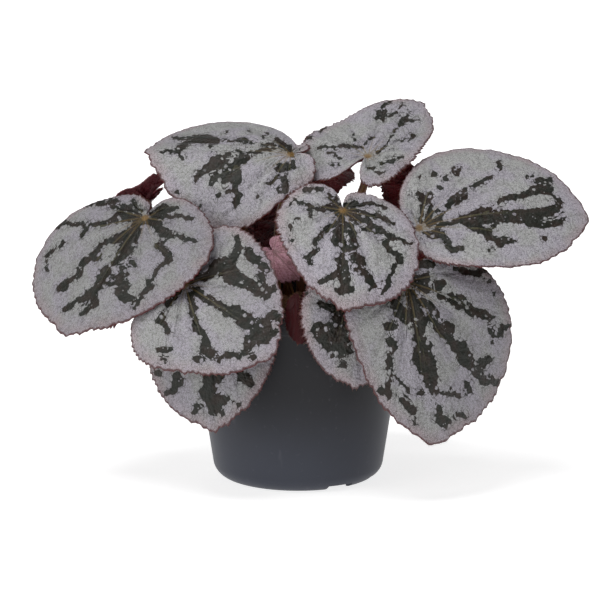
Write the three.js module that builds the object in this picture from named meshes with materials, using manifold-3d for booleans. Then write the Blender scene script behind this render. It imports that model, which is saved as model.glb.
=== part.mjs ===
// A rex begonia in a plastic nursery pot, in millimetres, with +Z up.
// The origin is the middle of the pot's flat underside, on the surface it stands on.
// The plant's best side looks along -Y, and +X is to its right.
import * as THREE from 'three';
import { mergeVertices } from 'three/addons/utils/BufferGeometryUtils.js';
import Module from 'manifold-3d';

// Pot: a 12 cm nursery pot with a collar, a notched foot ring and drain holes
const POT_HEIGHT = 100;
const POT_FOOT_RADIUS = 45;
const POT_FLARE = 0.155; // outward slope of the side, mm for each mm of height
const POT_WALL = 1.4;
const POT_SIDES = 48;
const FOOT_ROUND = 8; // radius of the rounded corner at the foot
const COLLAR_HEIGHT = 12;
const COLLAR_STEP = 1.6; // how far the collar stands out from the side
const COLLAR_SLOPE = 1; // height over which the side runs out to the collar
const RIM_BEVEL = [0.6, 1]; // width and height of the worn top edge
const CHANNEL_DEPTH = 3; // drain channel in the underside
const CHANNEL_INNER = 22;
const CHANNEL_OUTER = 37;
const CHANNEL_SLOPE = 2; // run of the channel's inner side
const NOTCH_WIDTH = 15;
const NOTCH_ANGLES = [-58, -17, 122, 163]; // degrees from +X
const DRAIN_RADIUS = 3.2;
const DRAIN_COUNT = 8;
const DRAIN_CIRCLE = 30;
const DRAIN_SIDES = 10;

// Soil and the creeping stem that lies half sunk in it
const SOIL_LEVEL = 90;
const SOIL_DOME = 3;
const SOIL_LUMP = 0.8;
const SOIL_LUMP_PITCH = [4.1, 4.7]; // along X and Y
const SOIL_SIDES = 32;
const SOIL_RINGS = [0.95, 0.8, 0.62, 0.42, 0.2];
const SOIL_SHOULDER = 3; // height of the soil's edge below its level
const STEM_LENGTH = 78;
const STEM_RADIUS = 6.5;
const STEM_KNOB = 1.1; // height of the swollen rings left by old leaves
const STEM_KNOB_PITCH = 10;
const STEM_SWAY = 9;
const STEM_SWAY_PITCH = 17;
const STEM_CENTRE_HEIGHT = 93.5;
const STEM_RINGS = 28;
const STEM_SIDES = 12;
const CLEARANCE = 0.5; // between the soil and the pot, and round the stem in its trough

// Leaves
const BLADE_THICKNESS = 0.9;
const HUB_DIMPLE = 2; // depth of the dip where the main veins meet
const HUB_DIMPLE_RADIUS = 8;
const SINUS_DEPTH = 0.8; // how much of the reach the notch at the leaf stalk takes away
const SINUS_WIDTH = 0.2; // radians
const TIP_POINT = 0.05;
const TIP_WIDTH = 0.12; // radians
const TOOTH = 0.7;
const TOOTH_FULL_REACH = 15; // margins nearer the hub than this have smaller teeth
const STALK_SIDES = 7;
const STALK_STEPS = 10;
const STALK_GAP = 0.6; // from the end of a stalk to its blade
const FOLD_GAP = 0.8;
const SOCKET_DEPTH = 4;
const SOCKET_PLAY = 0.7;
const SOCKET_SIDES = 10;
const STALK_RISE = 16; // how far a stalk runs straight out of its socket
const STALK_LEAD = 9; // how far it runs square to its blade
const STALK_LEAN = 0.004; // lean of its foot for each mm that the hub lies out to the side
const FOLD_SOFTNESS = 0.02;
const LARGE_RINGS = [16, 32, 64];
const SMALL_RINGS = [12, 24, 48];
const RING_REACH = [0.34, 0.68, 1];

// One row for each leaf. hub is where stalk and veins meet. facing is the azimuth and the elevation
// of the upper face. turn swings the tip from straight down the slope, in degrees.
// reach is the distance from hub to margin every 45 degrees, from the tip round through the left side
// to the notch and back along the right side. drop is how far the tip, heel, left and right sag.
const LEAVES = {
  left_leaf: {
    hub: [-81, -22, 145], facing: [-120, 42], turn: -22,
    reach: [71, 55, 50, 28, 10, 12, 31, 72], drop: [5, 3, 4, 6],
    wave: [1.6, 5, 40], foot: [-27, -7], stalk: 2.3,
  },
  upper_left_leaf: {
    hub: [-4, -8, 177], facing: [-95, 64], turn: -93,
    reach: [75, 54, 26, 20, 10, 12, 15, 76], drop: [1, 2, 6, 1], fold: [18, 12],
    wave: [1.6, 5, 10], foot: [-12, -9], via: [[-10, 0, 140]], stalk: 2.4,
  },
  top_leaf: {
    hub: [37, -8, 176], facing: [-95, 66], turn: 155,
    reach: [57, 42, 38, 34, 20, 26, 23, 32], drop: [0, 14, 2, 4],
    wave: [1.4, 5, 0], foot: [13, 1], stalk: 2.4,
  },
  front_leaf: {
    hub: [23, -54, 154], facing: [-86, 50], turn: -1,
    reach: [50, 50, 31, 15, 10, 24, 34, 39], drop: [8, 3, 4, 4],
    wave: [1.4, 5, 60], foot: [6, -11], stalk: 2.3,
  },
  right_leaf: {
    hub: [63, -44, 143], facing: [-86, 45], turn: 101,
    reach: [91, 78, 31, 9, 8, 9, 20, 43], drop: [3, 3, 5, 4],
    wave: [1.6, 5, 20], foot: [29, -7], stalk: 2.3,
  },
  lower_right_leaf: {
    hub: [56, -64, 118], facing: [-74, 28], turn: 9,
    reach: [77, 70, 47, 12, 7, 14, 34, 48], drop: [8, 4, 7, 6],
    wave: [1.6, 5, 80], foot: [21, -17], stalk: 2.3,
  },
  lower_left_leaf: {
    hub: [-59, -50, 114], facing: [-108, 37], turn: 58,
    reach: [61, 48, 40, 24, 8, 18, 43, 49], drop: [3, 4, 0, 6],
    wave: [1.4, 5, 30], foot: [-19, -17], stalk: 2.2,
  },
  left_rim_leaf: {
    hub: [-40, -58, 102], facing: [-104, 30], turn: 0,
    reach: [57, 40, 26, 10, 7, 10, 28, 50], drop: [5, 3, 5, 5],
    wave: [1.2, 5, 0], foot: [-10, -20], via: [[-31, -42, 108], [-37, -51, 106]], lead: 3, stalk: 2,
  },
  front_rim_leaf: {
    hub: [27, -66, 110], facing: [-78, 12], turn: 6,
    reach: [45, 37, 24, 14, 8, 20, 26, 34], drop: [5, 3, 3, 3],
    wave: [1.2, 5, 50], foot: [12, -22], via: [[24, -52, 108]], lead: 5, stalk: 1.9,
  },
  left_back_leaf: {
    hub: [-84, 29, 147], facing: [125, 40], turn: 40,
    reach: [42, 32, 22, 21, 17, 6, 9, 28], drop: [6, 3, 5, 5],
    wave: [1.6, 6, 0], foot: [-31, 3], stalk: 2.1,
  },
  right_back_leaf: {
    hub: [70, 24, 156], facing: [60, 40], turn: -5,
    reach: [40, 36, 28, 24, 12, 14, 22, 32], drop: [6, 3, 5, 5],
    wave: [1.6, 5, 30], foot: [31, 4], stalk: 2.1,
  },
  back_leaf: {
    hub: [4, 42, 166], facing: [95, 58], turn: 12,
    reach: [54, 36, 25, 20, 12, 16, 28, 36], drop: [5, 3, 6, 6],
    wave: [1.6, 5, 10], foot: [1, 11], stalk: 2.3,
  },
  back_left_leaf: {
    hub: [-32, 58, 131], facing: [116, 44], turn: 4,
    reach: [66, 42, 26, 16, 10, 17, 28, 42], drop: [8, 3, 6, 6],
    wave: [1.6, 5, 60], foot: [-21, 8], stalk: 2.2,
  },
  back_right_leaf: {
    hub: [46, 66, 122], facing: [62, 40], turn: 10,
    reach: [66, 50, 36, 22, 10, 22, 38, 54], drop: [8, 3, 6, 6],
    wave: [1.6, 5, 0], foot: [20, 15], stalk: 2.2,
  },
  left_side_leaf: {
    hub: [-86, 26, 116], facing: [168, 38], turn: -8,
    reach: [42, 38, 34, 22, 10, 13, 20, 30], drop: [5, 3, 5, 5],
    wave: [1.4, 5, 40], foot: [-35, 12], stalk: 2,
  },
  right_side_leaf: {
    hub: [78, 12, 124], facing: [14, 40], turn: 8,
    reach: [44, 32, 24, 14, 9, 20, 32, 40], drop: [5, 3, 5, 5],
    wave: [1.4, 5, 70], foot: [37, -3], stalk: 2,
  },
  back_rim_leaf: {
    hub: [-14, 68, 104], facing: [103, 22], turn: 6,
    reach: [50, 42, 34, 18, 8, 16, 34, 42], drop: [6, 3, 5, 5],
    wave: [1.2, 5, 20], foot: [-6, 24], via: [[-13, 54, 107]], lead: 5, stalk: 2,
  },
  young_inner_leaf: {
    hub: [-13, -34, 129], facing: [-110, 34], turn: 50,
    reach: [20, 15, 12, 9, 5, 8, 12, 15], drop: [2, 1, 4, 4],
    wave: [0.5, 5, 0], foot: [-2, -22], stalk: 1.4, young: true,
  },
  young_rim_leaf: {
    hub: [1, -66, 109], facing: [-90, 8], turn: 0,
    reach: [22, 11, 5, 4, 3, 4, 6, 11], drop: [0, 1, 4, 4],
    wave: [0.4, 5, 0], foot: [1, -31], via: [[-1, -54, 107]], lead: 4, stalk: 1.4, young: true,
  },
};

const COLOURS = {
  pot: [0x35373c, 0.6],
  soil: [0x2a1d15, 0.95],
  stem: [0x7d5a3c, 0.8],
  blade: [0xa39ba4, 0.55],
  young: [0xa86a74, 0.6],
  stalk: [0x8a3f2c, 0.7],
};

const degrees = THREE.MathUtils.degToRad;
const wasm = await Module();
wasm.setup();

function finish(name, geometry, [colour, roughness]) {
  const material = new THREE.MeshStandardMaterial({ color: colour, roughness, metalness: 0 });
  const mesh = new THREE.Mesh(geometry, material);
  mesh.name = name;
  return mesh;
}

function toSolid(geometry) {
  const plain = geometry.clone();
  plain.deleteAttribute('normal');
  plain.deleteAttribute('uv');
  const merged = mergeVertices(plain, 1e-4);
  return new wasm.Manifold(new wasm.Mesh({
    numProp: 3,
    vertProperties: new Float32Array(merged.attributes.position.array),
    triVerts: new Uint32Array(merged.index.array),
  }));
}

function fromSolid(solid) {
  const mesh = solid.getMesh();
  const geometry = new THREE.BufferGeometry();
  geometry.setAttribute('position', new THREE.BufferAttribute(mesh.vertProperties, 3));
  geometry.setIndex(new THREE.BufferAttribute(mesh.triVerts, 1));
  return geometry;
}

function cutAll(body, cutters) {
  let solid = toSolid(body);
  for (const cutter of cutters) {
    solid = solid.subtract(toSolid(cutter));
  }
  return fromSolid(solid);
}

// A profile of [radius, height] points turned round the Z axis
function turned(profile, sides) {
  const points = profile.map(([radius, height]) => new THREE.Vector2(radius, height));
  return new THREE.LatheGeometry(points, sides).rotateX(Math.PI / 2);
}

function potRadius(height) {
  return POT_FOOT_RADIUS + POT_FLARE * height;
}

function makePot() {
  const collarBottom = POT_HEIGHT - COLLAR_HEIGHT;
  const collarRadius = potRadius(POT_HEIGHT) + COLLAR_STEP;
  const [bevelWidth, bevelHeight] = RIM_BEVEL;
  const floor = CHANNEL_DEPTH + POT_WALL;
  const profile = [[0, 0], [CHANNEL_INNER, 0], [CHANNEL_INNER + CHANNEL_SLOPE, CHANNEL_DEPTH]];
  profile.push([CHANNEL_OUTER, CHANNEL_DEPTH], [CHANNEL_OUTER, 0]);
  for (const share of [0, 0.25, 0.5, 0.75, 1]) {
    const angle = share * (Math.PI / 2);
    const height = FOOT_ROUND * (1 - Math.cos(angle));
    profile.push([potRadius(height) - FOOT_ROUND * (1 - Math.sin(angle)), height]);
  }
  profile.push([potRadius(collarBottom), collarBottom]);
  profile.push([potRadius(collarBottom) + COLLAR_STEP, collarBottom + COLLAR_SLOPE]);
  profile.push([collarRadius, POT_HEIGHT - bevelHeight]);
  profile.push([collarRadius - bevelWidth, POT_HEIGHT]);
  profile.push([collarRadius - POT_WALL, POT_HEIGHT]);
  profile.push([potRadius(collarBottom) + COLLAR_STEP - POT_WALL, collarBottom + COLLAR_STEP]);
  profile.push([potRadius(collarBottom) - POT_WALL, collarBottom]);
  profile.push([potRadius(FOOT_ROUND) - POT_WALL, FOOT_ROUND]);
  profile.push([POT_FOOT_RADIUS - FOOT_ROUND, floor], [0, floor]);
  const cutters = [];
  const footRing = POT_FOOT_RADIUS - CHANNEL_OUTER;
  for (const angle of NOTCH_ANGLES) {
    const notch = new THREE.BoxGeometry(2 * footRing, NOTCH_WIDTH, 2 * CHANNEL_DEPTH);
    notch.translate(CHANNEL_OUTER + footRing / 2, 0, 0).rotateZ(degrees(angle));
    cutters.push(notch);
  }
  for (let hole = 0; hole < DRAIN_COUNT; hole += 1) {
    const drain = new THREE.CylinderGeometry(DRAIN_RADIUS, DRAIN_RADIUS, 2 * floor, DRAIN_SIDES);
    drain.rotateX(Math.PI / 2).translate(DRAIN_CIRCLE, 0, floor);
    drain.rotateZ((hole / DRAIN_COUNT) * 2 * Math.PI);
    cutters.push(drain);
  }
  return finish('pot', cutAll(turned(profile, POT_SIDES), cutters), COLOURS.pot);
}

// The creeping stem: a ringed rod along X, swayed from side to side
function stemShape(grow) {
  const profile = [[0, -STEM_LENGTH / 2 - grow]];
  for (let ring = 1; ring < STEM_RINGS; ring += 1) {
    const along = (ring / STEM_RINGS - 0.5) * STEM_LENGTH;
    const taper = Math.sqrt(1 - (2 * along / STEM_LENGTH) ** 4);
    const knob = STEM_KNOB * Math.cos((2 * Math.PI * along) / STEM_KNOB_PITCH);
    profile.push([(STEM_RADIUS + knob) * taper + grow, along]);
  }
  profile.push([0, STEM_LENGTH / 2 + grow]);
  const points = profile.map(([radius, along]) => new THREE.Vector2(radius, along));
  const geometry = new THREE.LatheGeometry(points, STEM_SIDES).rotateZ(-Math.PI / 2);
  const place = geometry.attributes.position;
  for (let i = 0; i < place.count; i += 1) {
    place.setY(i, place.getY(i) + STEM_SWAY * Math.sin(place.getX(i) / STEM_SWAY_PITCH));
  }
  return geometry.translate(0, 0, STEM_CENTRE_HEIGHT);
}

function soilHeight(x, y) {
  const far = Math.hypot(x, y) / potRadius(SOIL_LEVEL);
  const lump = SOIL_LUMP * Math.sin(x / SOIL_LUMP_PITCH[0] + 1) * Math.cos(y / SOIL_LUMP_PITCH[1]);
  return SOIL_LEVEL + SOIL_DOME * (1 - far * far) + lump * (1 - far ** 4);
}

function makeSoil(stalkHoles) {
  const wall = POT_WALL + CLEARANCE;
  const floor = CHANNEL_DEPTH + POT_WALL + CLEARANCE;
  const shoulder = SOIL_LEVEL - SOIL_SHOULDER;
  const edge = potRadius(shoulder) - wall;
  const profile = [[0, floor], [POT_FOOT_RADIUS - FOOT_ROUND - CLEARANCE, floor]];
  profile.push([potRadius(FOOT_ROUND) - wall, FOOT_ROUND + CLEARANCE], [edge, shoulder]);
  for (const share of SOIL_RINGS) {
    profile.push([edge * share, SOIL_LEVEL]);
  }
  profile.push([0, SOIL_LEVEL]);
  const geometry = turned(profile, SOIL_SIDES);
  const place = geometry.attributes.position;
  for (let i = 0; i < place.count; i += 1) {
    if (place.getZ(i) > (SOIL_LEVEL + shoulder) / 2) {
      place.setZ(i, soilHeight(place.getX(i), place.getY(i)));
    }
  }
  return finish('soil', cutAll(geometry, [stemShape(CLEARANCE), ...stalkHoles]), COLOURS.soil);
}

// The three directions of a blade: towards its tip, to its left, and out of its upper face
function bladeAxes(leaf) {
  const [azimuth, elevation] = leaf.facing.map(degrees);
  const out = new THREE.Vector3(
    Math.cos(elevation) * Math.cos(azimuth),
    Math.cos(elevation) * Math.sin(azimuth),
    Math.sin(elevation),
  );
  const downhill = new THREE.Vector3(0, 0, -1).addScaledVector(out, out.z).normalize();
  const sideways = out.clone().cross(downhill);
  const tip = downhill.multiplyScalar(Math.cos(degrees(leaf.turn)));
  tip.addScaledVector(sideways, Math.sin(degrees(leaf.turn)));
  return { tip, left: out.clone().cross(tip), out };
}

// Distance from hub to margin: a smooth curve through the eight reaches, with the notch and the tip
function reachAt(leaf, angle) {
  const count = leaf.reach.length;
  const turnPart = ((angle / (2 * Math.PI) + 2) % 1) * count;
  const first = Math.floor(turnPart);
  const t = turnPart - first;
  const [a, b, c, d] = [-1, 0, 1, 2].map((step) => leaf.reach[(first + step + count) % count]);
  const smooth = 0.5 * (2 * b + (c - a) * t + (2 * a - 5 * b + 4 * c - d) * t * t
    + (3 * b - 3 * c + d - a) * t * t * t);
  const fromNotch = Math.PI - Math.abs(angle);
  const notch = 1 - SINUS_DEPTH * Math.exp(-((fromNotch / SINUS_WIDTH) ** 2));
  const point = 1 + TIP_POINT * Math.exp(-((angle / TIP_WIDTH) ** 2));
  return smooth * notch * point;
}

// Height of the upper face above the blade's plane
function bladeLift(leaf, along, across, share, angle) {
  const size = leaf.reach.reduce((sum, value) => sum + value, 0) / leaf.reach.length;
  const a = along / size;
  const b = across / size;
  const [tipDrop, heelDrop, leftDrop, rightDrop] = leaf.drop;
  const [waveHeight, waveCount, wavePhase] = leaf.wave;
  let lift = -(a > 0 ? tipDrop : heelDrop) * a * a - (b > 0 ? leftDrop : rightDrop) * b * b;
  if (leaf.fold) {
    const [leftFold, rightFold] = leaf.fold;
    lift -= (b > 0 ? leftFold : rightFold) * (Math.sqrt(b * b + FOLD_SOFTNESS) - Math.sqrt(FOLD_SOFTNESS));
  }
  const ripple = waveHeight * share * share * Math.min(Math.hypot(a, b), 1);
  lift += ripple * Math.sin(waveCount * angle + degrees(wavePhase));
  const fromHub = Math.hypot(along, across) / HUB_DIMPLE_RADIUS;
  return lift + HUB_DIMPLE * (1 - Math.exp(-fromHub * fromHub));
}

// The margin has teeth. A ring inside it keeps within the least reach near each of its points,
// so that no ring crosses the next one at the notch.
function ringPoints(leaf, share, count) {
  const points = [];
  const halfStep = Math.PI / count;
  for (let i = 0; i < count; i += 1) {
    const angle = (2 * i + 1) * halfStep - Math.PI;
    let radius = reachAt(leaf, angle);
    if (share === 1) {
      radius += TOOTH * (i % 2 ? 1 : -1) * Math.min(radius / TOOTH_FULL_REACH, 1);
    } else {
      radius = share * Math.min(reachAt(leaf, angle - halfStep), radius, reachAt(leaf, angle + halfStep));
    }
    points.push([radius * Math.cos(angle), radius * Math.sin(angle), share, angle]);
  }
  return points;
}

// Triangles between an inner and an outer ring, where the outer has the same count or a whole multiple
function bridge(faces, inner, innerCount, outer, outerCount) {
  const ratio = outerCount / innerCount;
  for (let i = 0; i < innerCount; i += 1) {
    for (let from = i * ratio; from < (i + 1) * ratio; from += 1) {
      faces.push([inner + i, outer + from, outer + ((from + 1) % outerCount)]);
    }
    const next = (i + 1) % innerCount;
    faces.push([inner + i, outer + next * ratio, inner + next]);
  }
}

function makeBlade(name, leaf) {
  const rings = leaf.young ? SMALL_RINGS : LARGE_RINGS;
  const flat = [[0, 0, 0, 0]];
  const starts = [];
  rings.forEach((count, index) => {
    starts.push(flat.length);
    flat.push(...ringPoints(leaf, RING_REACH[index], count));
  });
  const faces = [];
  for (let i = 0; i < rings[0]; i += 1) {
    faces.push([0, starts[0] + i, starts[0] + ((i + 1) % rings[0])]);
  }
  for (let ring = 1; ring < rings.length; ring += 1) {
    bridge(faces, starts[ring - 1], rings[ring - 1], starts[ring], rings[ring]);
  }
  const axes = bladeAxes(leaf);
  const hub = new THREE.Vector3(...leaf.hub);
  const place = (thickness) => flat.map(([along, across, share, angle]) => hub.clone()
    .addScaledVector(axes.tip, along)
    .addScaledVector(axes.left, across)
    .addScaledVector(axes.out, bladeLift(leaf, along, across, share, angle) - thickness));
  const points = [...place(0), ...place(BLADE_THICKNESS)];
  const under = flat.length;
  const index = [];
  for (const [a, b, c] of faces) {
    index.push(a, b, c, under + a, under + c, under + b);
  }
  const edge = starts[starts.length - 1];
  const edgeCount = rings[rings.length - 1];
  for (let i = 0; i < edgeCount; i += 1) {
    const here = edge + i;
    const next = edge + ((i + 1) % edgeCount);
    index.push(here, under + here, next, next, under + here, under + next);
  }
  const geometry = new THREE.BufferGeometry().setFromPoints(points);
  geometry.setIndex(index);
  geometry.computeVertexNormals();
  return finish(`${name}_blade`, geometry, leaf.young ? COLOURS.young : COLOURS.blade);
}

// A stalk leaves its socket upwards, arches out, and meets the blade square to its underside
function stalkPath(leaf) {
  const { out } = bladeAxes(leaf);
  const hub = new THREE.Vector3(...leaf.hub);
  const top = hub.clone().addScaledVector(out, -BLADE_THICKNESS - (leaf.fold ? FOLD_GAP : STALK_GAP));
  const foot = new THREE.Vector3(leaf.foot[0], leaf.foot[1], SOIL_LEVEL - SOCKET_DEPTH);
  const rise = new THREE.Vector3(hub.x - foot.x, hub.y - foot.y, 0);
  rise.multiplyScalar(STALK_LEAN).setZ(1);
  rise.normalize();
  const points = [foot, foot.clone().addScaledVector(rise, STALK_RISE / 2)];
  points.push(foot.clone().addScaledVector(rise, STALK_RISE));
  for (const via of leaf.via ?? []) {
    points.push(new THREE.Vector3(...via));
  }
  points.push(top.clone().addScaledVector(out, -(leaf.lead ?? STALK_LEAD)), top);
  return { curve: new THREE.CatmullRomCurve3(points, false, 'centripetal'), foot, rise };
}

function roundShape(radius) {
  const shape = new THREE.Shape();
  for (let i = 0; i < STALK_SIDES; i += 1) {
    const angle = (i / STALK_SIDES) * 2 * Math.PI;
    const x = radius * Math.cos(angle);
    const y = radius * Math.sin(angle);
    if (i === 0) {
      shape.moveTo(x, y);
    } else {
      shape.lineTo(x, y);
    }
  }
  shape.closePath();
  return shape;
}

function makeStalk(name, leaf) {
  const settings = { steps: STALK_STEPS, extrudePath: stalkPath(leaf).curve, bevelEnabled: false };
  const geometry = new THREE.ExtrudeGeometry(roundShape(leaf.stalk), settings);
  return finish(`${name}_stalk`, geometry, COLOURS.stalk);
}

// The hole that a stalk stands in, a little wider and deeper than the stalk
function stalkHole(leaf) {
  const { foot, rise } = stalkPath(leaf);
  const width = leaf.stalk + SOCKET_PLAY;
  const hole = new THREE.CylinderGeometry(width, width, STALK_RISE, SOCKET_SIDES);
  hole.translate(0, STALK_RISE / 2 - CLEARANCE, 0);
  hole.applyQuaternion(new THREE.Quaternion().setFromUnitVectors(new THREE.Vector3(0, 1, 0), rise));
  return hole.translate(foot.x, foot.y, foot.z);
}

const plant = new THREE.Group();
const holes = Object.values(LEAVES).map(stalkHole);
plant.add(makePot());
plant.add(makeSoil(holes));
plant.add(finish('creeping_stem', cutAll(stemShape(0), holes), COLOURS.stem));
for (const [name, leaf] of Object.entries(LEAVES)) {
  plant.add(makeBlade(name, leaf));
  plant.add(makeStalk(name, leaf));
}

export default plant;
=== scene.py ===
"""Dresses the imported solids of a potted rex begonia: leaves, stalks, hairs, pot, soil and stage.

Lengths inside the pieces are worked out in millimetres and written to the meshes in metres.
A blade's own coordinates are along (towards its tip) and across (towards its left), from its hub,
where the stalk and the main veins meet.
"""
import math

import bmesh
import bpy
import numpy as np
from bpy.props import FloatProperty, FloatVectorProperty, IntProperty, PointerProperty
from bpy.types import Operator, Panel, PropertyGroup
from mathutils import Matrix, Vector, noise


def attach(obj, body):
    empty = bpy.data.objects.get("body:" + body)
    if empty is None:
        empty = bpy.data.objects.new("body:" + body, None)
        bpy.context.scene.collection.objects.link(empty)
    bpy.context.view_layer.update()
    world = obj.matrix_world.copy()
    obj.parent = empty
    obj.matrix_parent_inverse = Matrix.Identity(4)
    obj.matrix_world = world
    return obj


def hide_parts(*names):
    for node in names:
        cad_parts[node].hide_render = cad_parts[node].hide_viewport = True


bl_info = {
    "name": "Potted Rex Begonia",
    "version": (1, 0, 0),
    "blender": (4, 5, 0),
    "location": "3D View > Sidebar > Begonia",
    "description": "Builds the fine leaves, pot, soil and stage round the plant's solids",
    "category": "Object",
}

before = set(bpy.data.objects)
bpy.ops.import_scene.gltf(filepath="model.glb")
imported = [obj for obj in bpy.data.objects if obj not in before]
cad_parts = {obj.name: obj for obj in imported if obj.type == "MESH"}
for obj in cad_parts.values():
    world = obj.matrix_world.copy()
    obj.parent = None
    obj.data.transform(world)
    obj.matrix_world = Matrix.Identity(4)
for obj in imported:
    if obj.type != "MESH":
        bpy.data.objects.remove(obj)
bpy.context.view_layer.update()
MM = 0.001

# The reference view: a square picture, taken from the front and a little above
PICTURE_SIZE = 600
PICTURE_FOCAL = 2775  # pixels
SENSOR_WIDTH = 36  # mm
CAMERA_DISTANCE = 1500  # mm
CAMERA_ELEVATION = math.radians(10.5)
CAMERA_TARGET = np.array([1.0, 0.0, 96.5])  # mm
PIXELS_PER_MM = PICTURE_FOCAL / CAMERA_DISTANCE

# Light
WORLD_STRENGTH = 0.26
SUNS = {  # the direction towards the sun, its strength and its width in degrees
    "high_sun": ((-0.2, -0.25, 1.0), 2.1, 32),
    "left_fill": ((-0.85, -0.55, 0.08), 1.5, 45),
}
FLOOR_GLOW = 0.78
FLOOR_REACH = 30  # metres

# Markings and veins
FAR_LIMIT = 0.7  # mm outside a stroke up to which its exact edge is worked out in the material
YOUNG_FAR_LIMIT = 0.5  # the same on a young leaf
STROKE_REACH = 6  # mm outside a stroke up to which it is looked for
MARK_GROWTH = {  # mm added to the half widths of a leaf's drawn strokes
    "left_leaf": 0.45, "upper_left_leaf": 0.1, "top_leaf": -0.1, "front_leaf": 0.2,
    "right_leaf": 0.25, "lower_right_leaf": 0.3, "lower_left_leaf": 0.85, "left_rim_leaf": 0.6,
    "front_rim_leaf": 0.5,
}
FLECKS = 16  # loose dark flecks on a leaf that the reference view hides
VEIN_POINTS = 12
VEIN_END = 0.97  # as a share of the reach
FORK_POINTS = 9
FORK_END = 0.98  # as a share of the reach
FORKS = ((0.34, 0.42), (0.6, 0.26))  # where a fork starts, and the share of the gap it swings over
STRONG_VEIN = 0.011  # half width of a vein with its full groove, as a share of the leaf's size
SWELL_WIDTH = 2.4  # mm from a vein to where the blade has swollen
GROOVE_WIDTH = 0.9  # mm
RIDGE_WIDTH = 0.8  # mm

# The skin of the upper faces, in cells or waves for each mm
PEBBLES = 0.9
ISLANDS = 0.36
GRAINS = 2.3
YOUNG_PEBBLES = 1.3

# Specular levels of the shader
BLADE_GLOSS = 0.3
UNDERSIDE_GLOSS = 0.15
YOUNG_GLOSS = 0.45
POT_GLOSS = 0.18
FLOOR_GLOSS = 0.2

# Pot, as its solid has it, in mm and degrees
POT_HEIGHT = 100
POT_FOOT_RADIUS = 45
POT_FLARE = 0.155
POT_WALL = 1.4
FOOT_ROUND = 8
FOOT_ROUND_POINTS = 12
COLLAR_HEIGHT = 12
COLLAR_STEP = 1.6
COLLAR_SLOPE = 1
RIM_BEVEL = (0.6, 1)
CHANNEL_DEPTH = 3
CHANNEL_INNER = 22
CHANNEL_OUTER = 37
CHANNEL_SLOPE = 2
NOTCH_WIDTH = 15
NOTCH_ANGLES = (-58, -17, 122, 163)
DRAIN_RADIUS = 3.2
DRAIN_COUNT = 8
DRAIN_CIRCLE = 30
DRAIN_SIDES = 24

# Rounding of the fine pot's edges that turn by more than SHARP_ANGLE
MOULD_ROUND = 0.25
SHARP_ANGLE = 25

# Soil and creeping stem, as their solids have them, in mm
SOIL_LEVEL = 90
SOIL_DOME = 3
SOIL_LUMP = 0.8
SOIL_LUMP_PITCH = (4.1, 4.7)
SOIL_EDGE_GAP = 1.9
STEM_LENGTH = 78
STEM_RADIUS = 6.5
STEM_KNOB = 1.1
STEM_KNOB_PITCH = 10
STEM_SWAY = 9
STEM_SWAY_PITCH = 17
STEM_CENTRE_HEIGHT = 93.5

# What only the fine soil and stem have
SOIL_STEPS = 168
SOIL_RINGS = 56
SOIL_CRUMBLE = 0.75
SOIL_CRUMBLE_PITCH = 3.2
SOIL_EDGE_FALL = 1.2
PERLITE_SHARE = 0.07
STEM_SIDES = 40
STEM_RINGS = 200
STEM_BARK = 0.35
STEM_BARK_PITCH = 2.6

# Leaves, as their solids have them, in mm where a value is no share or count
BLADE_THICKNESS = 0.9
HUB_DIMPLE = 2
HUB_DIMPLE_RADIUS = 8
SINUS_DEPTH = 0.8
SINUS_WIDTH = 0.2
TIP_POINT = 0.05
TIP_WIDTH = 0.12
TOOTH = 0.7
TOOTH_COUNT = 32
TOOTH_FULL_REACH = 15
FOLD_SOFTNESS = 0.02
STALK_RISE = 16
STALK_LEAD = 9
STALK_LEAN = 0.004
SOCKET_DEPTH = 4

# What only the fine leaves have
SMALL_TEETH = 53  # round the blade, as the two counts below
FINE_TEETH_SEEN = 103
FINE_TEETH_FAR = 71
HAIR_RADIUS = 0.085
HAIR_ROOT = 0.35  # mm from the margin to the hairs' roots
YOUNG_HAIR_SHARE = 0.45
HAIR_PATH_STEPS = 200
CURVE_STEPS = 40  # between two corners of a stalk's path
STALK_RIBS = 5
RIB_DEPTH = 0.035

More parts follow.
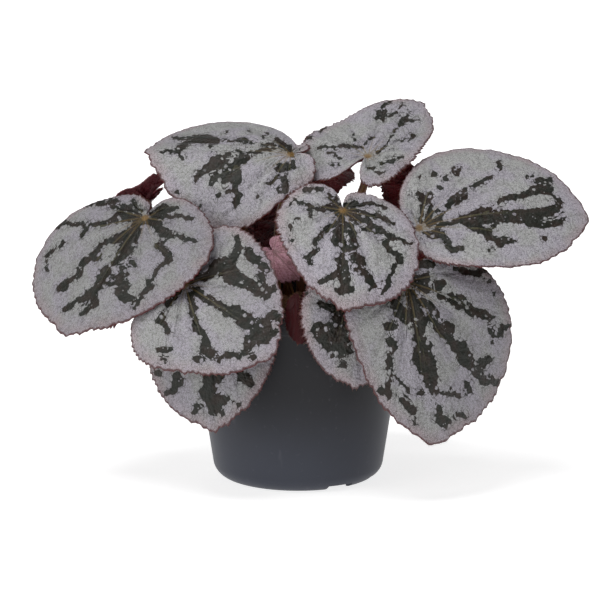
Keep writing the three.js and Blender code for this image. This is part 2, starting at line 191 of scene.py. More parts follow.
# hub is where stalk and veins meet. facing is the azimuth and the elevation of the upper face.
# turn swings the tip from straight down the slope. reach is the distance from hub to margin every
# 45 degrees, from the tip round through the left side. drop is how far tip, heel, left and right
# sag, and fold how far both sides fall from the middle line. wave is the height, number and phase
# of the margin's waves. foot is where the stalk leaves the soil, via the points that it passes,
# lead how far it runs straight into the hub, and stalk its radius. veins are the directions of the
# main veins from the tip. tone is how light the upper face is kept; lower values are
# painted shade for a leaf that lies in less light, and partly the leaf's own darker tone. flush is
# how much paler and pinker than the others the underside is. Lengths are in mm and angles in degrees.
LEAVES = {
    "left_leaf": dict(
        hub=(-81, -22, 145), facing=(-120, 42), turn=-22, reach=(71, 55, 50, 28, 10, 12, 31, 72),
        drop=(5, 3, 4, 6), wave=(1.6, 5, 40), foot=(-27, -7), stalk=2.3, tone=0.7,
        veins=(5, 36, 62, 105, 145, -13, -30, -50, -75, -110, -150)),
    "upper_left_leaf": dict(
        hub=(-4, -8, 177), facing=(-95, 64), turn=-93, reach=(75, 54, 26, 20, 10, 12, 15, 76),
        drop=(1, 2, 6, 1), fold=(18, 12), wave=(1.6, 5, 10), foot=(-12, -9),
        via=((-10, 0, 140),), stalk=2.4, tone=0.91,
        veins=(0, 22, 48, 68, 95, 135, -14, -32, -55, -95, -140)),
    "top_leaf": dict(
        hub=(37, -8, 176), facing=(-95, 66), turn=155, reach=(57, 42, 38, 34, 20, 26, 23, 32),
        drop=(0, 14, 2, 4), wave=(1.4, 5, 0), foot=(13, 1), stalk=2.4, tone=0.9,
        veins=(16, -4, -25, -50, -78, -115, -150, 45, 72, 105, 145)),
    "front_leaf": dict(
        hub=(23, -54, 154), facing=(-86, 50), turn=-1, reach=(50, 50, 31, 15, 10, 24, 34, 39),
        drop=(8, 3, 4, 4), wave=(1.4, 5, 60), foot=(6, -11), stalk=2.3,
        veins=(-2, 21, 45, 70, 95, 140, -28, -60, -98, -140)),
    "right_leaf": dict(
        hub=(63, -44, 143), facing=(-86, 45), turn=101, reach=(91, 78, 31, 9, 8, 9, 20, 43),
        drop=(3, 3, 5, 4), wave=(1.6, 5, 20), foot=(29, -7), stalk=2.3, tone=1,
        veins=(4, 22, 40, 64, 95, 145, -12, -30, -55, -95, -145)),
    "lower_right_leaf": dict(
        hub=(56, -64, 118), facing=(-74, 28), turn=9, reach=(77, 70, 47, 12, 7, 14, 34, 48),
        drop=(8, 4, 7, 6), wave=(1.6, 5, 80), foot=(21, -17), stalk=2.3, tone=0.77,
        veins=(-4, 19, 40, 59, 90, 140, -18, -36, -60, -95, -140)),
    "lower_left_leaf": dict(
        hub=(-59, -50, 114), facing=(-108, 37), turn=58, reach=(61, 48, 40, 24, 8, 18, 43, 49),
        drop=(3, 4, 0, 6), wave=(1.4, 5, 30), foot=(-19, -17), stalk=2.2, tone=0.85,
        veins=(4, 28, 52, 84, 130, -31, -55, -80, -115, -150)),
    "left_rim_leaf": dict(
        hub=(-40, -58, 102), facing=(-104, 30), turn=0, reach=(57, 40, 26, 10, 7, 10, 28, 50),
        drop=(5, 3, 5, 5), wave=(1.2, 5, 0), foot=(-10, -20),
        via=((-31, -42, 108), (-37, -51, 106)), lead=3, stalk=2, tone=0.73),
    "front_rim_leaf": dict(
        hub=(27, -66, 110), facing=(-78, 12), turn=6, reach=(45, 37, 24, 14, 8, 20, 26, 34),
        drop=(5, 3, 3, 3), wave=(1.2, 5, 50), foot=(12, -22), via=((24, -52, 108),), lead=5,
        stalk=1.9, tone=0.84),
    "left_back_leaf": dict(
        hub=(-84, 29, 147), facing=(125, 40), turn=40, reach=(42, 32, 22, 21, 17, 6, 9, 28),
        drop=(6, 3, 5, 5), wave=(1.6, 6, 0), foot=(-31, 3), stalk=2.1, flush=0.85),
    "right_back_leaf": dict(
        hub=(70, 24, 156), facing=(60, 40), turn=-5, reach=(40, 36, 28, 24, 12, 14, 22, 32),
        drop=(6, 3, 5, 5), wave=(1.6, 5, 30), foot=(31, 4), stalk=2.1),
    "back_leaf": dict(
        hub=(4, 42, 166), facing=(95, 58), turn=12, reach=(54, 36, 25, 20, 12, 16, 28, 36),
        drop=(5, 3, 6, 6), wave=(1.6, 5, 10), foot=(1, 11), stalk=2.3),
    "back_left_leaf": dict(
        hub=(-32, 58, 131), facing=(116, 44), turn=4, reach=(66, 42, 26, 16, 10, 17, 28, 42),
        drop=(8, 3, 6, 6), wave=(1.6, 5, 60), foot=(-21, 8), stalk=2.2),
    "back_right_leaf": dict(
        hub=(46, 66, 122), facing=(62, 40), turn=10, reach=(66, 50, 36, 22, 10, 22, 38, 54),
        drop=(8, 3, 6, 6), wave=(1.6, 5, 0), foot=(20, 15), stalk=2.2),
    "left_side_leaf": dict(
        hub=(-86, 26, 116), facing=(168, 38), turn=-8, reach=(42, 38, 34, 22, 10, 13, 20, 30),
        drop=(5, 3, 5, 5), wave=(1.4, 5, 40), foot=(-35, 12), stalk=2),
    "right_side_leaf": dict(
        hub=(78, 12, 124), facing=(14, 40), turn=8, reach=(44, 32, 24, 14, 9, 20, 32, 40),
        drop=(5, 3, 5, 5), wave=(1.4, 5, 70), foot=(37, -3), stalk=2),
    "back_rim_leaf": dict(
        hub=(-14, 68, 104), facing=(103, 22), turn=6, reach=(50, 42, 34, 18, 8, 16, 34, 42),
        drop=(6, 3, 5, 5), wave=(1.2, 5, 20), foot=(-6, 24), via=((-13, 54, 107),), lead=5,
        stalk=2),
    "young_inner_leaf": dict(
        hub=(-13, -34, 129), facing=(-110, 34), turn=50, reach=(20, 15, 12, 9, 5, 8, 12, 15),
        drop=(2, 1, 4, 4), wave=(0.5, 5, 0), foot=(-2, -22), stalk=1.4, young=True,
        veins=(0, 35, 75, 130, -35, -75, -130)),
    "young_rim_leaf": dict(
        hub=(1, -66, 109), facing=(-90, 8), turn=0, reach=(22, 11, 5, 4, 3, 4, 6, 11),
        drop=(0, 1, 4, 4), wave=(0.4, 5, 0), foot=(1, -31), via=((-1, -54, 107),), lead=4,
        stalk=1.4, young=True, unopened=True, veins=(0, 28, -28, 75, -75, 140, -140)),
}
MAIN_VEINS = (2, 30, 58, 92, 140, -28, -56, -92, -142)

# The dark markings of each leaf that shows its upper face in the reference view, as drawn
# strokes. A stroke is a chain of x, y, half width, in pixels of that view.
MARKINGS = {
    "left_leaf": """
        140,218.5,2.5; 130,217,4; 121,216.5,4.8; 113,220.5,2.5; 108,222.5,1.5 | 108,224,1.2;
        91,224.5,1.2; 84,223.5,1.6; 76,224.5,1; 68,223.5,1.2; 64.5,220.5,1; 61.5,224.5,1;
        55,228,.8 | 87,225.5,2.5; 84.5,231,1.8; 82,236,.6 | 87,204.5,1; 97,204,1.6;
        105,202.5,2.2; 112,202,2.2; 117,200.5,1.2 | 112,206.5,.7; 125,209.5,1; 136,212,1;
        141,215.5,1 | 121,204,1; 126,206.8,1.6; 131,205.2,1 | 132.6,201,.8; 138,208.4,1.5;
        141,211,1 | 140,222.5,3.5; 136,228,5; 129.5,233.5,5; 123,237.7,5; 114,240,3.5;
        108,241,2.5; 103.5,244,1.5; 97,251,2; 90.5,257,2.4; 82.5,264.5,2.4 | 80,273,2;
        71,280,1.8; 65.4,283.8,3.2; 61,287.6,3.8 | 101,257,1; 95,260.3,.8 | 136,233.5,3.5;
        129.5,244,5.5; 125,250.7,5.5; 120.7,257,4; 114,261.5,2.2; 112,265,1.2 | 106.5,271.3,4;
        100.8,277,3.5; 99,285.7,3.5; 91,293.3,4; 83.6,297.2,2.5; 75,302,1.4; 68.3,306.7,2;
        63,309.6,1.2 | 94,295.3,3; 95,303,3.2; 89.3,307.7,1.5; 80.7,314.4,.6 | 120.7,267,1.5;
        125,272.4,3; 120.7,276.7,3; 114,279,1.5; 118.5,282,3; 125,285.4,4; 121.5,292,5;
        125,297.3,4; 130.5,299.5,1.8; 133.7,297.3,1 | 98,283,1; 105.5,282,1; 114,284.3,1 |
        151,221.5,3.5; 157.6,224.7,4; 161,230,4; 168.4,233.4,3 | 162,234.5,2; 168.4,237.7,1;
        177,235.5,1.5; 188,238.8,1.6; 194.4,241.5,1 | 165,241,1; 157.6,246.4,1.6; 163,250.7,2.5;
        168.4,255,3.2; 169.5,259.4,3; 164,263.7,1.5; 156.5,270,1; 154.3,276.7,1; 147.8,283,1.3;
        151,287.6,1.8; 143.5,292,1.8; 140,298.4,1.6; 134.8,308,.6 | 152,215,2; 157.6,211.7,3;
        164,208.4,4; 169.5,209.5,2.5; 177,208,1 | 152,218.7,1.2; 163,216,1.4; 179,216,1.2;
        192.3,218.7,1.2 | 130.5,261.5,1; 134.8,264.8,1 | 63.5,242.5,1.6; 59.7,247.5,.6 |
        52.5,250.3,1.4; 46.3,258,.5 | 46.7,261.3,1 | 46.3,269.4,1.2""",
    "upper_left_leaf": """
        172.4,137.3,.8; 180.6,139.4,2; 188.8,140.4,3.5; 199,138.9,4; 207,138.9,4.5;
        215,140.4,4; 218.4,141.4,2 | 211,146,2 | 185.7,143.5,3; 179.6,148.6,3; 177,152,2;
        167.3,150.6,1; 161.2,151.6,.8 | 177.5,151.6,1.5; 179.6,155.7,1; 182.6,158.3,1.5 |
        195,181.2,1; 198,175,2.5; 203,171,3.5; 211.2,166,4.5; 219.4,164,6; 227.5,165,5.5;
        235.7,163,5; 241.8,160.8,4; 248,157.8,2.5; 241.8,153.7,2; 236.7,150.6,1 |
        213.3,158.8,3; 221.4,156.7,2.5; 229.6,154.2,1.5 | 211.2,183.3,2; 215.3,177,4;
        223.5,177,6; 231.6,177,6; 237.8,180.2,4; 236.7,171,4 | 233.7,185.3,1.2;
        235.7,189.4,3.5; 238.8,195.5,3.5; 235.7,201.6,4; 235.7,207.8,1 | 228.6,192.4,1.5;
        223.5,194,1; 218.4,195,2.5 | 248,152.7,1; 257,152.7,1.5; 262.2,150,2; 275.5,148.6,1.2 |
        262.2,144.5,1; 275.5,145,1.5 | 276.5,139.4,2; 282.7,144.5,3; 288.8,149.6,3;
        292.9,155.7,2 | 279.6,168,4.5; 286,166.5,4.5; 292.9,166.9,2.5; 292.9,160.8,1.5 |
        282.7,175.1,2; 285.7,183.3,2.5; 284.7,190.4,4; 279.6,190.4,3 | 277.6,176.1,1.8;
        273.5,181.2,1.2; 268.4,183.8,2 | 258.2,197,2 | 177,191.4,1.8 | 200,204.7,.7;
        199,215,.4 | 226.5,132.3,1 | 224.5,139.4,.8; 233.7,141.4,.8 | 203,124,.8 |
        238.8,139.4,2; 245,140.4,2.5; 251,142,1.2 | 249,131.2,1 | 263.3,136.8,1 |
        267.3,133.3,1""",
    "top_leaf": """
        390.4,101.9,1.2; 385.3,104.5,2; 381.8,107.9,1.5; 379.2,111.4,3; 378.4,116.5,3.5;
        382.7,119,2 | 385.3,110.5,1.8; 382.7,114.8,2.5 | 384.4,116.5,.6; 391.3,115.7,1.4;
        396.5,111.8,1 | 402.5,104.5,1.2; 399,108.8,.6 | 411,111.4,1.2 | 408.5,115.7,1;
        405,118.3,3; 401.6,122.6,3; 403.4,125.1,1.5 | 407.7,120.8,1.5; 418.9,120,1 |
        401.6,126,.7; 396.5,128.6,.8; 386,145,1; 375.8,153.6,1.2 | 401.6,141.5,1;
        406,138,1 | 409.4,139.8,1.2; 412,136.3,1.8; 414.5,135.9,1 | 381,163.9,1;
        386,161.8,1.8; 393,161.3,2.5; 394.7,158.7,1.5; 403.4,157,.6 | 375.8,171.6,1.2;
        380,173.4,1.4; 384.4,172,.6 | 368,168.2,1; 374,168.2,1.4 | 364.6,145,.8;
        368.9,139.8,1; 373.2,137.2,1.4 | 353.4,134.6,1 | 355,140.6,.7 | 320.7,131.2,1.2;
        327.5,124.3,.6 | 307.7,138,1.5; 311,137.6,1.5 | 303,174,1.8; 309.5,179.5,1.2 |
        318,147.4,1; 334.7,147,1.4; 344.6,146,2; 357,147.4,1.4; 364.5,147.4,.6 |
        328,152.3,1; 335.5,153.2,2; 335.5,158,1.8; 340.5,157.7,1 | 330.5,165.2,.5;
        338.8,165.2,1.4 | 291.6,155.7,1.5; 300.7,154.8,1.3 | 304.8,139,1.5; 310.6,137.4,1""",
    "front_leaf": """
        338.6,205.7,3; 331.4,206.6,4; 325,208.4,3 | 331.4,210.2,1.5; 322.5,210.2,1.5;
        315.4,208.4,1.2; 310,205.7,2; 298.4,202,1; 294.8,199.5,1; 289.5,204,.8 |
        310,209.3,2.5; 311,213,1.8; 310,217.3,.6 | 303.8,189.6,1; 310,189.6,1.5;
        315.4,189.2,2.5; 322.5,189.6,1.5 | 327.9,194,1; 331.4,196.8,1.5; 335.9,196,1.2;
        337.7,200.4,1.5 | 331.4,199.5,1.2; 337.7,203,1.5 | 335.9,223.6,2; 329.6,227,2.5;
        322.5,232.5,1.8; 318,237.9,2; 314.5,241.4,2.2; 315.4,246,1.2 | 317,250.4,2.4;
        311.8,254,2; 307.3,257.5,2.4; 310,262,2; 311.8,263.8,1 | 339,213,4; 341,219,3;
        344,227,5; 338.6,234.3,6; 337.7,240.5,5.5; 342,244,4.5; 344.8,250.4,2 |
        349.3,227,4.5; 352,232.5,3.5; 352.9,239.6,3.5; 354.6,246,3.5; 349.3,248.6,2.5 |
        342,255.7,2; 338.6,260.2,3; 344,264.6,5; 340.4,271,5; 334,275.4,3.5; 327.9,279,2.2;
        321.6,281.6,1.8 | 354.6,256.6,3.5; 360,260.2,3.5; 362.7,264.6,2 | 356.4,266.4,4;
        362.7,271,3.5; 367,273.6,3; 369,279.8,3; 375,285.2,2; 369.8,289.6,1 |
        344.8,272.7,4.5; 345.7,279.8,4.5; 343,285.2,3.5; 351,288.8,3; 342,293.2,2.2 |
        336,288.8,1.5; 340,292.3,2 | 345.7,212,2.5; 352.9,220,1.8; 357.3,223.6,1 |
        349.3,212.9,3.5; 358.2,218.2,3; 367,220,3.5; 371.6,225.4,3; 378.8,229.8,3;
        384,233.4,2; 393,238,3 | 363.6,229,1.5; 368,228,2; 375,232.5,2 | 398.4,238,1;
        404.5,242,1.2; 410.6,243.6,.8 | 387.7,240.5,1.5; 384,244,1.8; 389,250,2;
        396.3,253.3,2; 400.4,256.3,3.5; 399.4,261.4,3 | 394.3,265.5,1.8; 393.3,271.6,1.8;
        389.2,275.7,1.2; 389.2,280.8,3; 387,287,2.5; 382,294,1 | 345.7,205.7,2;
        353.8,204,3; 357.3,203,2 | 358.2,205.7,1; 367,203,1.5; 376,204.8,1.2;
        385,207.5,1.5 | 345.7,209.3,2; 358.2,211,1.8; 369,214.6,1.6; 378.8,216.4,1.5;
        386.8,220,1.5; 394,223.6,1 | 296.6,220,1.8 | 290.4,224.5,1; 290.4,230.7,.6 |
        292,240.5,1""",
    "right_leaf": """
        436.3,226.2,1.5; 450.9,222.5,2; 467.9,217.7,2.5; 475,212.9,2.5; 482.4,210.4,3;
        489.7,209.2,2 | 467.9,222.5,3.5; 484.8,218.9,5; 496.9,216.5,5.5; 509,216.5,6;
        521.2,216.5,6.5; 533.3,215.3,6.5; 545.4,212.9,5; 557.5,208,3.5; 561.2,204.4,2 |
        527.2,222.5,2.5; 543,225,2.5; 557.5,222.5,3; 563.6,220,2.5 | 499.4,202,2;
        505.4,198.3,2.5; 516.3,197,2; 527.2,193.5,3; 539.3,188.6,5; 547.8,189.8,4;
        550.2,191,2 | 538,180,2; 550.2,181.4,2.5 | 550.2,193.5,1; 558.7,199.5,1.4;
        560,203,1.6 | 465.4,221.3,3.5; 475,227.4,3.5; 484.8,232.2,3; 489.7,237,3.5;
        499.4,240.7,2; 506.6,238.3,1.5 | 499.4,244.4,3; 505.4,242,2.5; 515,240.7,.8 |
        497,223.8,1.4; 492,228.6,1.2; 489.7,232.2,2 | 424.2,233.5,1; 433.9,234.7,3.5;
        442.4,234.7,2.5; 446,239.5,2; 448.5,245.6,3; 453.3,250.4,2.5; 463,248.6,1.5 |
        437.6,229.8,2 | 420.6,222.5,1.5; 421.8,212.9,1.5; 423,204.4,2.5 | 417,193.5,2;
        421.8,197,3.5; 424.2,200.7,4; 429,197,3.5; 431.5,192.3,1.2 | 427.9,222.5,3;
        429,216.5,3; 431.5,208,2; 430.3,202,1 | 436.3,210.4,1; 443.6,211.6,1 |
        434,222.5,2.5; 440,217.7,1.5 | 446,209.2,1.5; 449.7,202,3; 457,197,3;
        465.4,189.8,2 | 457,204.4,1.5; 465.4,195.9,2 | 440,187.4,2 | 433.9,174,2.5 |
        446,177.7,2 | 453.3,169.2,1.8; 457,173,2.5; 460.6,168,1 | 473.9,186.2,1.5;
        482.4,181.4,1.8; 490.9,176.5,1.2 | 499.4,163.2,2.2; 500.6,168,2.2 | 527.2,177,1 |
        533.3,177,1 | 544.2,238.3,1.8 | 489.7,249.8,.8 | 420.6,177,1 | 409,194,1""",
    "lower_right_leaf": """
        401.4,284.5,3; 396.3,294.7,4; 395.3,305,4.5; 401.4,313,6.5; 407.5,317,6.5;
        417.8,313,5; 421.8,321.2,5; 418.8,333.5,4.5 | 410.6,293.7,4.5; 413.7,302.9,5 |
        388.2,326.3,4; 393,326,3.5 | 390.2,341.6,4; 395.3,344.7,3.5; 394.3,349.8,1.5 |
        389.2,356,2; 389.2,365,4 | 416.7,337.6,3; 424.9,346.7,7; 421.8,358,9; 427,365,10;
        430,374.3,7; 429,382.4,5; 435,390.6,4 | 442.2,392.7,1.5; 452.4,393.7,1.5;
        461.6,395.7,2 | 451.4,389.6,1.2 | 414.7,280.4,5; 421.8,285.5,5; 428,290.6,2.5 |
        421.3,264,4; 433,264.7,3 | 425,278.4,5 | 440,284.5,3.5; 444,282.4,2 |
        438.2,295.7,1; 450.4,300.8,2; 457.6,306,3; 465.7,303.9,4; 472.9,312,4; 483,315,4;
        489,317,3; 493,316.6,1 | 451.4,294.7,2 | 458.6,296.7,2.5; 462.7,300.8,3 |
        418.8,300.8,3; 428,304.9,3.5; 436,313,2.5; 438.2,317,1.5 | 430,317,2;
        435,323.3,2.5; 441.2,331.4,4; 445.3,335.5,4; 450.4,329.4,4.5; 447.3,325.3,3 |
        451.4,341.6,3; 456.5,347.8,4.5; 462.7,344.7,4; 464.7,351.8,5; 462.7,360,5;
        472.9,365,6; 478,372.2,5; 482.6,378,3 | 481.5,363.8,4; 488.5,359,3 | 482.6,382.7,2;
        492,380.3,3.5; 501.5,383.9,2 | 467.3,384,2; 468.5,391,2 | 402.4,400.4,2;
        408.3,406.3,3.5; 411.9,411,4 | 439,407.5,1.2; 440.2,418,4.5; 443.7,422.8,5;
        436.6,419.3,2.5 | 449.6,421.6,2 | 459,414.6,2.5; 463.8,415.7,2 | 414.2,423.4,1 |
        393,374.4,1; 403.6,383.9,1; 409.5,393.3,.8 | 417.8,393.3,1; 421.3,393.3,1.4 |
        389.4,380.3,1; 387,388.6,2.5; 389.4,395.7,2.2 | 381.2,391,3 | 455.5,268.3,2;
        467.3,271.8,2.5; 479,273,3; 483.8,268.3,3 | 439,286,4 | 488.5,281.2,1.2 |
        493.3,293,1.2 | 501.5,328.4,4; 509.8,326,1.5 | 500.3,334.3,3 | 489.7,329.6,1;
        493.3,336.7,1 | 492,342.6,1""",
    "lower_left_leaf": """
        190.2,280.2,2.5; 197.3,277,2; 205.5,277,2.5; 211.6,273,3; 216.7,265,4;
        223.9,262.9,5; 228,269,8; 232,277,7; 241.2,281.2,4.5; 252.4,286.3,4.5;
        260.6,291.4,4.5; 265.7,295.5,3; 272.9,288.4,2.5 | 232,260.8,2; 238.2,250.6,2;
        237,237.3,1 | 235,251.6,2; 240,249.6,2 | 248.4,250.6,1.8; 250.4,257.8,2.5;
        258.6,259.8,3.5; 262.7,267,2.8; 266.7,270,1.5 | 261.6,275,1.5; 261.6,283.3,2.5 |
        195.3,290.4,3; 204.5,297.5,3; 213.7,302.7,2.8; 221.8,306.7,3; 228,311.8,4;
        236,311.8,5; 242.2,318,6.5; 248.4,323,6.5; 257.6,326,6; 264.7,327,6; 266.7,334.3,5;
        263.7,339.4,3 | 266.7,320,2.5; 273.9,313.9,3; 282,321,1.5 | 252.4,328.2,6;
        252.4,338.4,6; 248.4,345.5,3.5; 247.3,351.6,1.2 | 247.3,352.6,.8; 238.2,355.7,1.5;
        228,354.7,1.5; 221.8,356.7,1; 218.8,360.8,1 | 190.2,295.5,1.5; 193.3,306.7,2.5;
        191.2,312.9,1; 195.3,320,1.5; 196.3,328.2,2.5; 202.4,333.3,2; 205.5,340.4,2.5;
        205.5,348.6,3.5; 210.6,353.7,3 | 197.3,358.8,1.8; 203.5,359.8,1 | 179,290.4,1.2;
        170.8,300.6,1.5; 167.8,304.7,1.5 | 162.7,314.9,1.2; 160.6,320,2.5; 164.7,325,1.5;
        168.8,332.2,.8 | 159.6,349.6,1; 169.8,350,1.2 | 163.7,360.8,1.5 | 253.5,357.8,1.4 |
        271.8,333.3,.8; 277,331,.6""",
    "left_rim_leaf": """
        213,379,5; 211.3,386.5,6; 207.2,391.5,6; 208.8,397.3,5.5; 214.6,403,4.5;
        217,406.4,4; 216.3,411.4,4; 222,413.9,1.5 | 218,399.8,4; 223,400.6,3.5;
        227.9,399,1.2 | 212,413,1.8 | 177.3,376.6,4; 178,381.6,4; 175.7,386.5,2;
        174,391.5,1.8; 167.4,392.3,2 | 158.2,372.9,2 | 240.3,372.4,3; 242,377.4,3.5;
        247,379,4; 250.3,383.2,3 | 238.7,380,1 | 197.2,407.7,2.5; 193.9,412.2,1 |
        238.3,405.2,1.6 | 206,378,3; 219,377.4,4""",
    "front_rim_leaf": """
        320,303.4,2; 326.8,306.8,2.5; 336.8,310.8,4; 345.5,312,4; 346.2,326.9,4 |
        337.5,320,5; 340,330.2,7; 334.8,337,8; 342.9,340.3,6 | 330,327,3.5; 316.7,324.2,2;
        314.7,330.2,3.5; 323.4,337,6.5; 326.8,343.6,5.5; 328.8,348.3,3 | 333.5,343.6,6;
        337.5,348.3,4; 342.2,353.7,3.5 | 348.2,350.3,3.5 | 342.9,364.4,2; 339.5,365.7,1;
        346.2,367,1 | 332.8,355.7,1 | 306.7,294,1""",
}

# Silver spots inside the dark markings, in pixels of the same view: x, y, radius
SILVER_SPOTS = {
    "upper_left_leaf": "229.6,170,2.5; 231.6,160.8,3",
    "front_leaf": """345.7,234,1.4; 346.4,239,1.4; 346.6,243,1.2; 352.9,264.6,2; 336,282.5,4;
        351,272,1""",
    "lower_left_leaf": "245,270,4; 251,272,4; 247.3,332,3.5; 261.6,326,2",
    "lower_right_leaf": "415.4,320,2.2; 417.4,326,2.2",
    "front_rim_leaf": """324.8,316,4; 324.8,320,4; 338.9,316,2; 326,329.6,2.6; 335.8,325.5,2.2;
        330.8,343.6,2""",
}


def srgb(red, green, blue):
    """A colour of 0 to 255 as the linear values that a material takes."""
    parts = [value / 255 for value in (red, green, blue)]
    return tuple(v / 12.92 if v <= 0.04045 else ((v + 0.055) / 1.055) ** 2.4 for v in parts)


def colour_property(name, description, red, green, blue):
    return FloatVectorProperty(
        name=name, description=description, subtype="COLOR", size=3, min=0, max=1,
        default=srgb(red, green, blue))


def length_property(name, description, default_mm):
    return FloatProperty(
        name=name, description=description, default=default_mm * MM, unit="LENGTH", precision=5)


def count_property(name, description, default, least):
    return IntProperty(name=name, description=description, default=default, min=least)


class BegoniaSizes(PropertyGroup):
    seen_spokes: count_property("Front Leaf Spokes", "Steps round each front leaf", 320, 64)
    seen_rings: count_property("Front Leaf Rings", "Steps from hub to margin", 46, 12)
    far_spokes: count_property("Other Leaf Spokes", "Steps round each other leaf", 176, 64)
    far_rings: count_property("Other Leaf Rings", "Steps from hub to margin", 32, 12)
    margin_thickness: length_property("Margin Thickness", "Thickness of a blade's margin", 0.45)
    vein_groove: length_property("Vein Groove", "Depth of the veins in the upper face", 0.7)
    vein_ridge: length_property("Vein Ridge", "Height of the veins under the blade", 0.7)
    pucker: length_property("Pucker", "Height of the swelling between the veins", 1.2)
    margin_hair: length_property("Margin Hair", "Length of the hairs along a margin", 1.6)
    stalk_hair: length_property("Stalk Hair", "Length of the hairs on a stalk", 1.8)
    margin_hairs: count_property("Margin Hairs", "Hairs round each blade", 420, 0)
    stalk_hairs: count_property("Stalk Hairs", "Hairs on each stalk", 260, 0)
    stalk_sides: count_property("Stalk Sides", "Steps round a stalk", 16, 6)
    stalk_rings: count_property("Stalk Rings", "Steps along a stalk", 48, 12)
    pot_steps: count_property("Pot Steps", "Steps round the pot", 240, 48)
    crumbs: count_property("Soil Crumbs", "Loose crumbs of peat on the soil", 520, 0)


class BegoniaColours(PropertyGroup):
    silver: colour_property("Silver", "Lilac silver of the upper faces", 165, 161, 170)
    silver_green: colour_property("Green Silver", "Greener patches of the silver", 162, 163, 161)
    shine: colour_property("Shine", "Lightest grains of the silver", 206, 203, 210)
    margin_pink: colour_property("Margin Pink", "Tinge towards the margin", 163, 138, 146)
    margin_red: colour_property("Margin Red", "The thin line at the margin", 66, 26, 25)
    dark: colour_property("Dark Green", "Green of the dark markings", 26, 28, 21)
    dark_brown: colour_property("Dark Brown", "Brown of the dark markings", 42, 32, 26)
    vein: colour_property("Vein", "Pale main veins near the hub", 132, 130, 96)
    hub: colour_property("Hub", "Spot where the veins meet", 122, 92, 42)
    under: colour_property("Underside", "Red of the undersides", 96, 14, 22)
    under_dark: colour_property("Dark Underside", "Deep red patches of the undersides", 52, 5, 9)
    under_flush: colour_property("Pale Underside", "Pinker, hairy undersides", 142, 70, 80)
    under_vein: colour_property("Underside Vein", "Veins of the undersides", 118, 44, 44)
    young: colour_property("Young Leaf", "Pink of the young leaves", 172, 122, 136)
    unopened: colour_property("Unopened Leaf", "Red of the folded leaf", 50, 22, 24)
    young_dark: colour_property("Young Leaf Dark", "Bronze of their veins and patches", 96, 58, 54)
    stalk: colour_property("Stalk", "Red brown of the stalks", 104, 50, 36)
    stalk_pale: colour_property("Pale Stalk", "Streaks on the stalks", 136, 108, 62)
    hair: colour_property("Hair", "Hairs on stalks and margins", 84, 38, 35)
    pot: colour_property("Pot", "Anthracite of the pot", 37, 37, 40)
    pot_foot_light: colour_property("Pot Foot Light", "Painted light towards the pot's foot", 128, 136, 158)
    soil: colour_property("Soil", "Damp peat", 42, 30, 22)
    soil_dry: colour_property("Dry Soil", "Dry peat", 84, 62, 44)
    perlite: colour_property("Perlite", "White grains in the soil", 240, 240, 241)
    bark: colour_property("Stem", "Skin of the creeping stem", 118, 84, 54)
    bark_dark: colour_property("Stem Scars", "Scars and scales of the stem", 62, 40, 28)
    floor: colour_property("Floor", "The surface that the pot stands on", 190, 190, 191)


def sizes():
    return bpy.context.scene.begonia_sizes


def colours():
    return bpy.context.scene.begonia_colours


# Shader expressions

class Wire:
    """A shader socket that takes part in Python expressions. Each operator adds a Math node."""

    def __init__(self, graph, socket):
        self.graph = graph
        self.socket = socket

    def maths(self, operation, other):
        return self.graph.node("ShaderNodeMath", {"operation": operation}, {0: self, 1: other})

    def __add__(self, other):
        return self.maths("ADD", other)

    __radd__ = __add__

    def __mul__(self, other):
        return self.maths("MULTIPLY", other)

    __rmul__ = __mul__

    def __sub__(self, other):
        return self.maths("SUBTRACT", other)

    def __rsub__(self, other):
        return self.graph.node("ShaderNodeMath", {"operation": "SUBTRACT"}, {0: other, 1: self})

    def least(self, other):
        return self.maths("MINIMUM", other)

    def most(self, other):
        return self.maths("MAXIMUM", other)

    def above(self, limit):
        return self.maths("GREATER_THAN", limit)

    def step(self, low, high):
        """0 at low, 1 at high, and a smooth run between them."""
        settings = {"interpolation_type": "SMOOTHSTEP"}
        values = {"Value": self, "From Min": low, "From Max": high}
        return self.graph.node("ShaderNodeMapRange", settings, values)


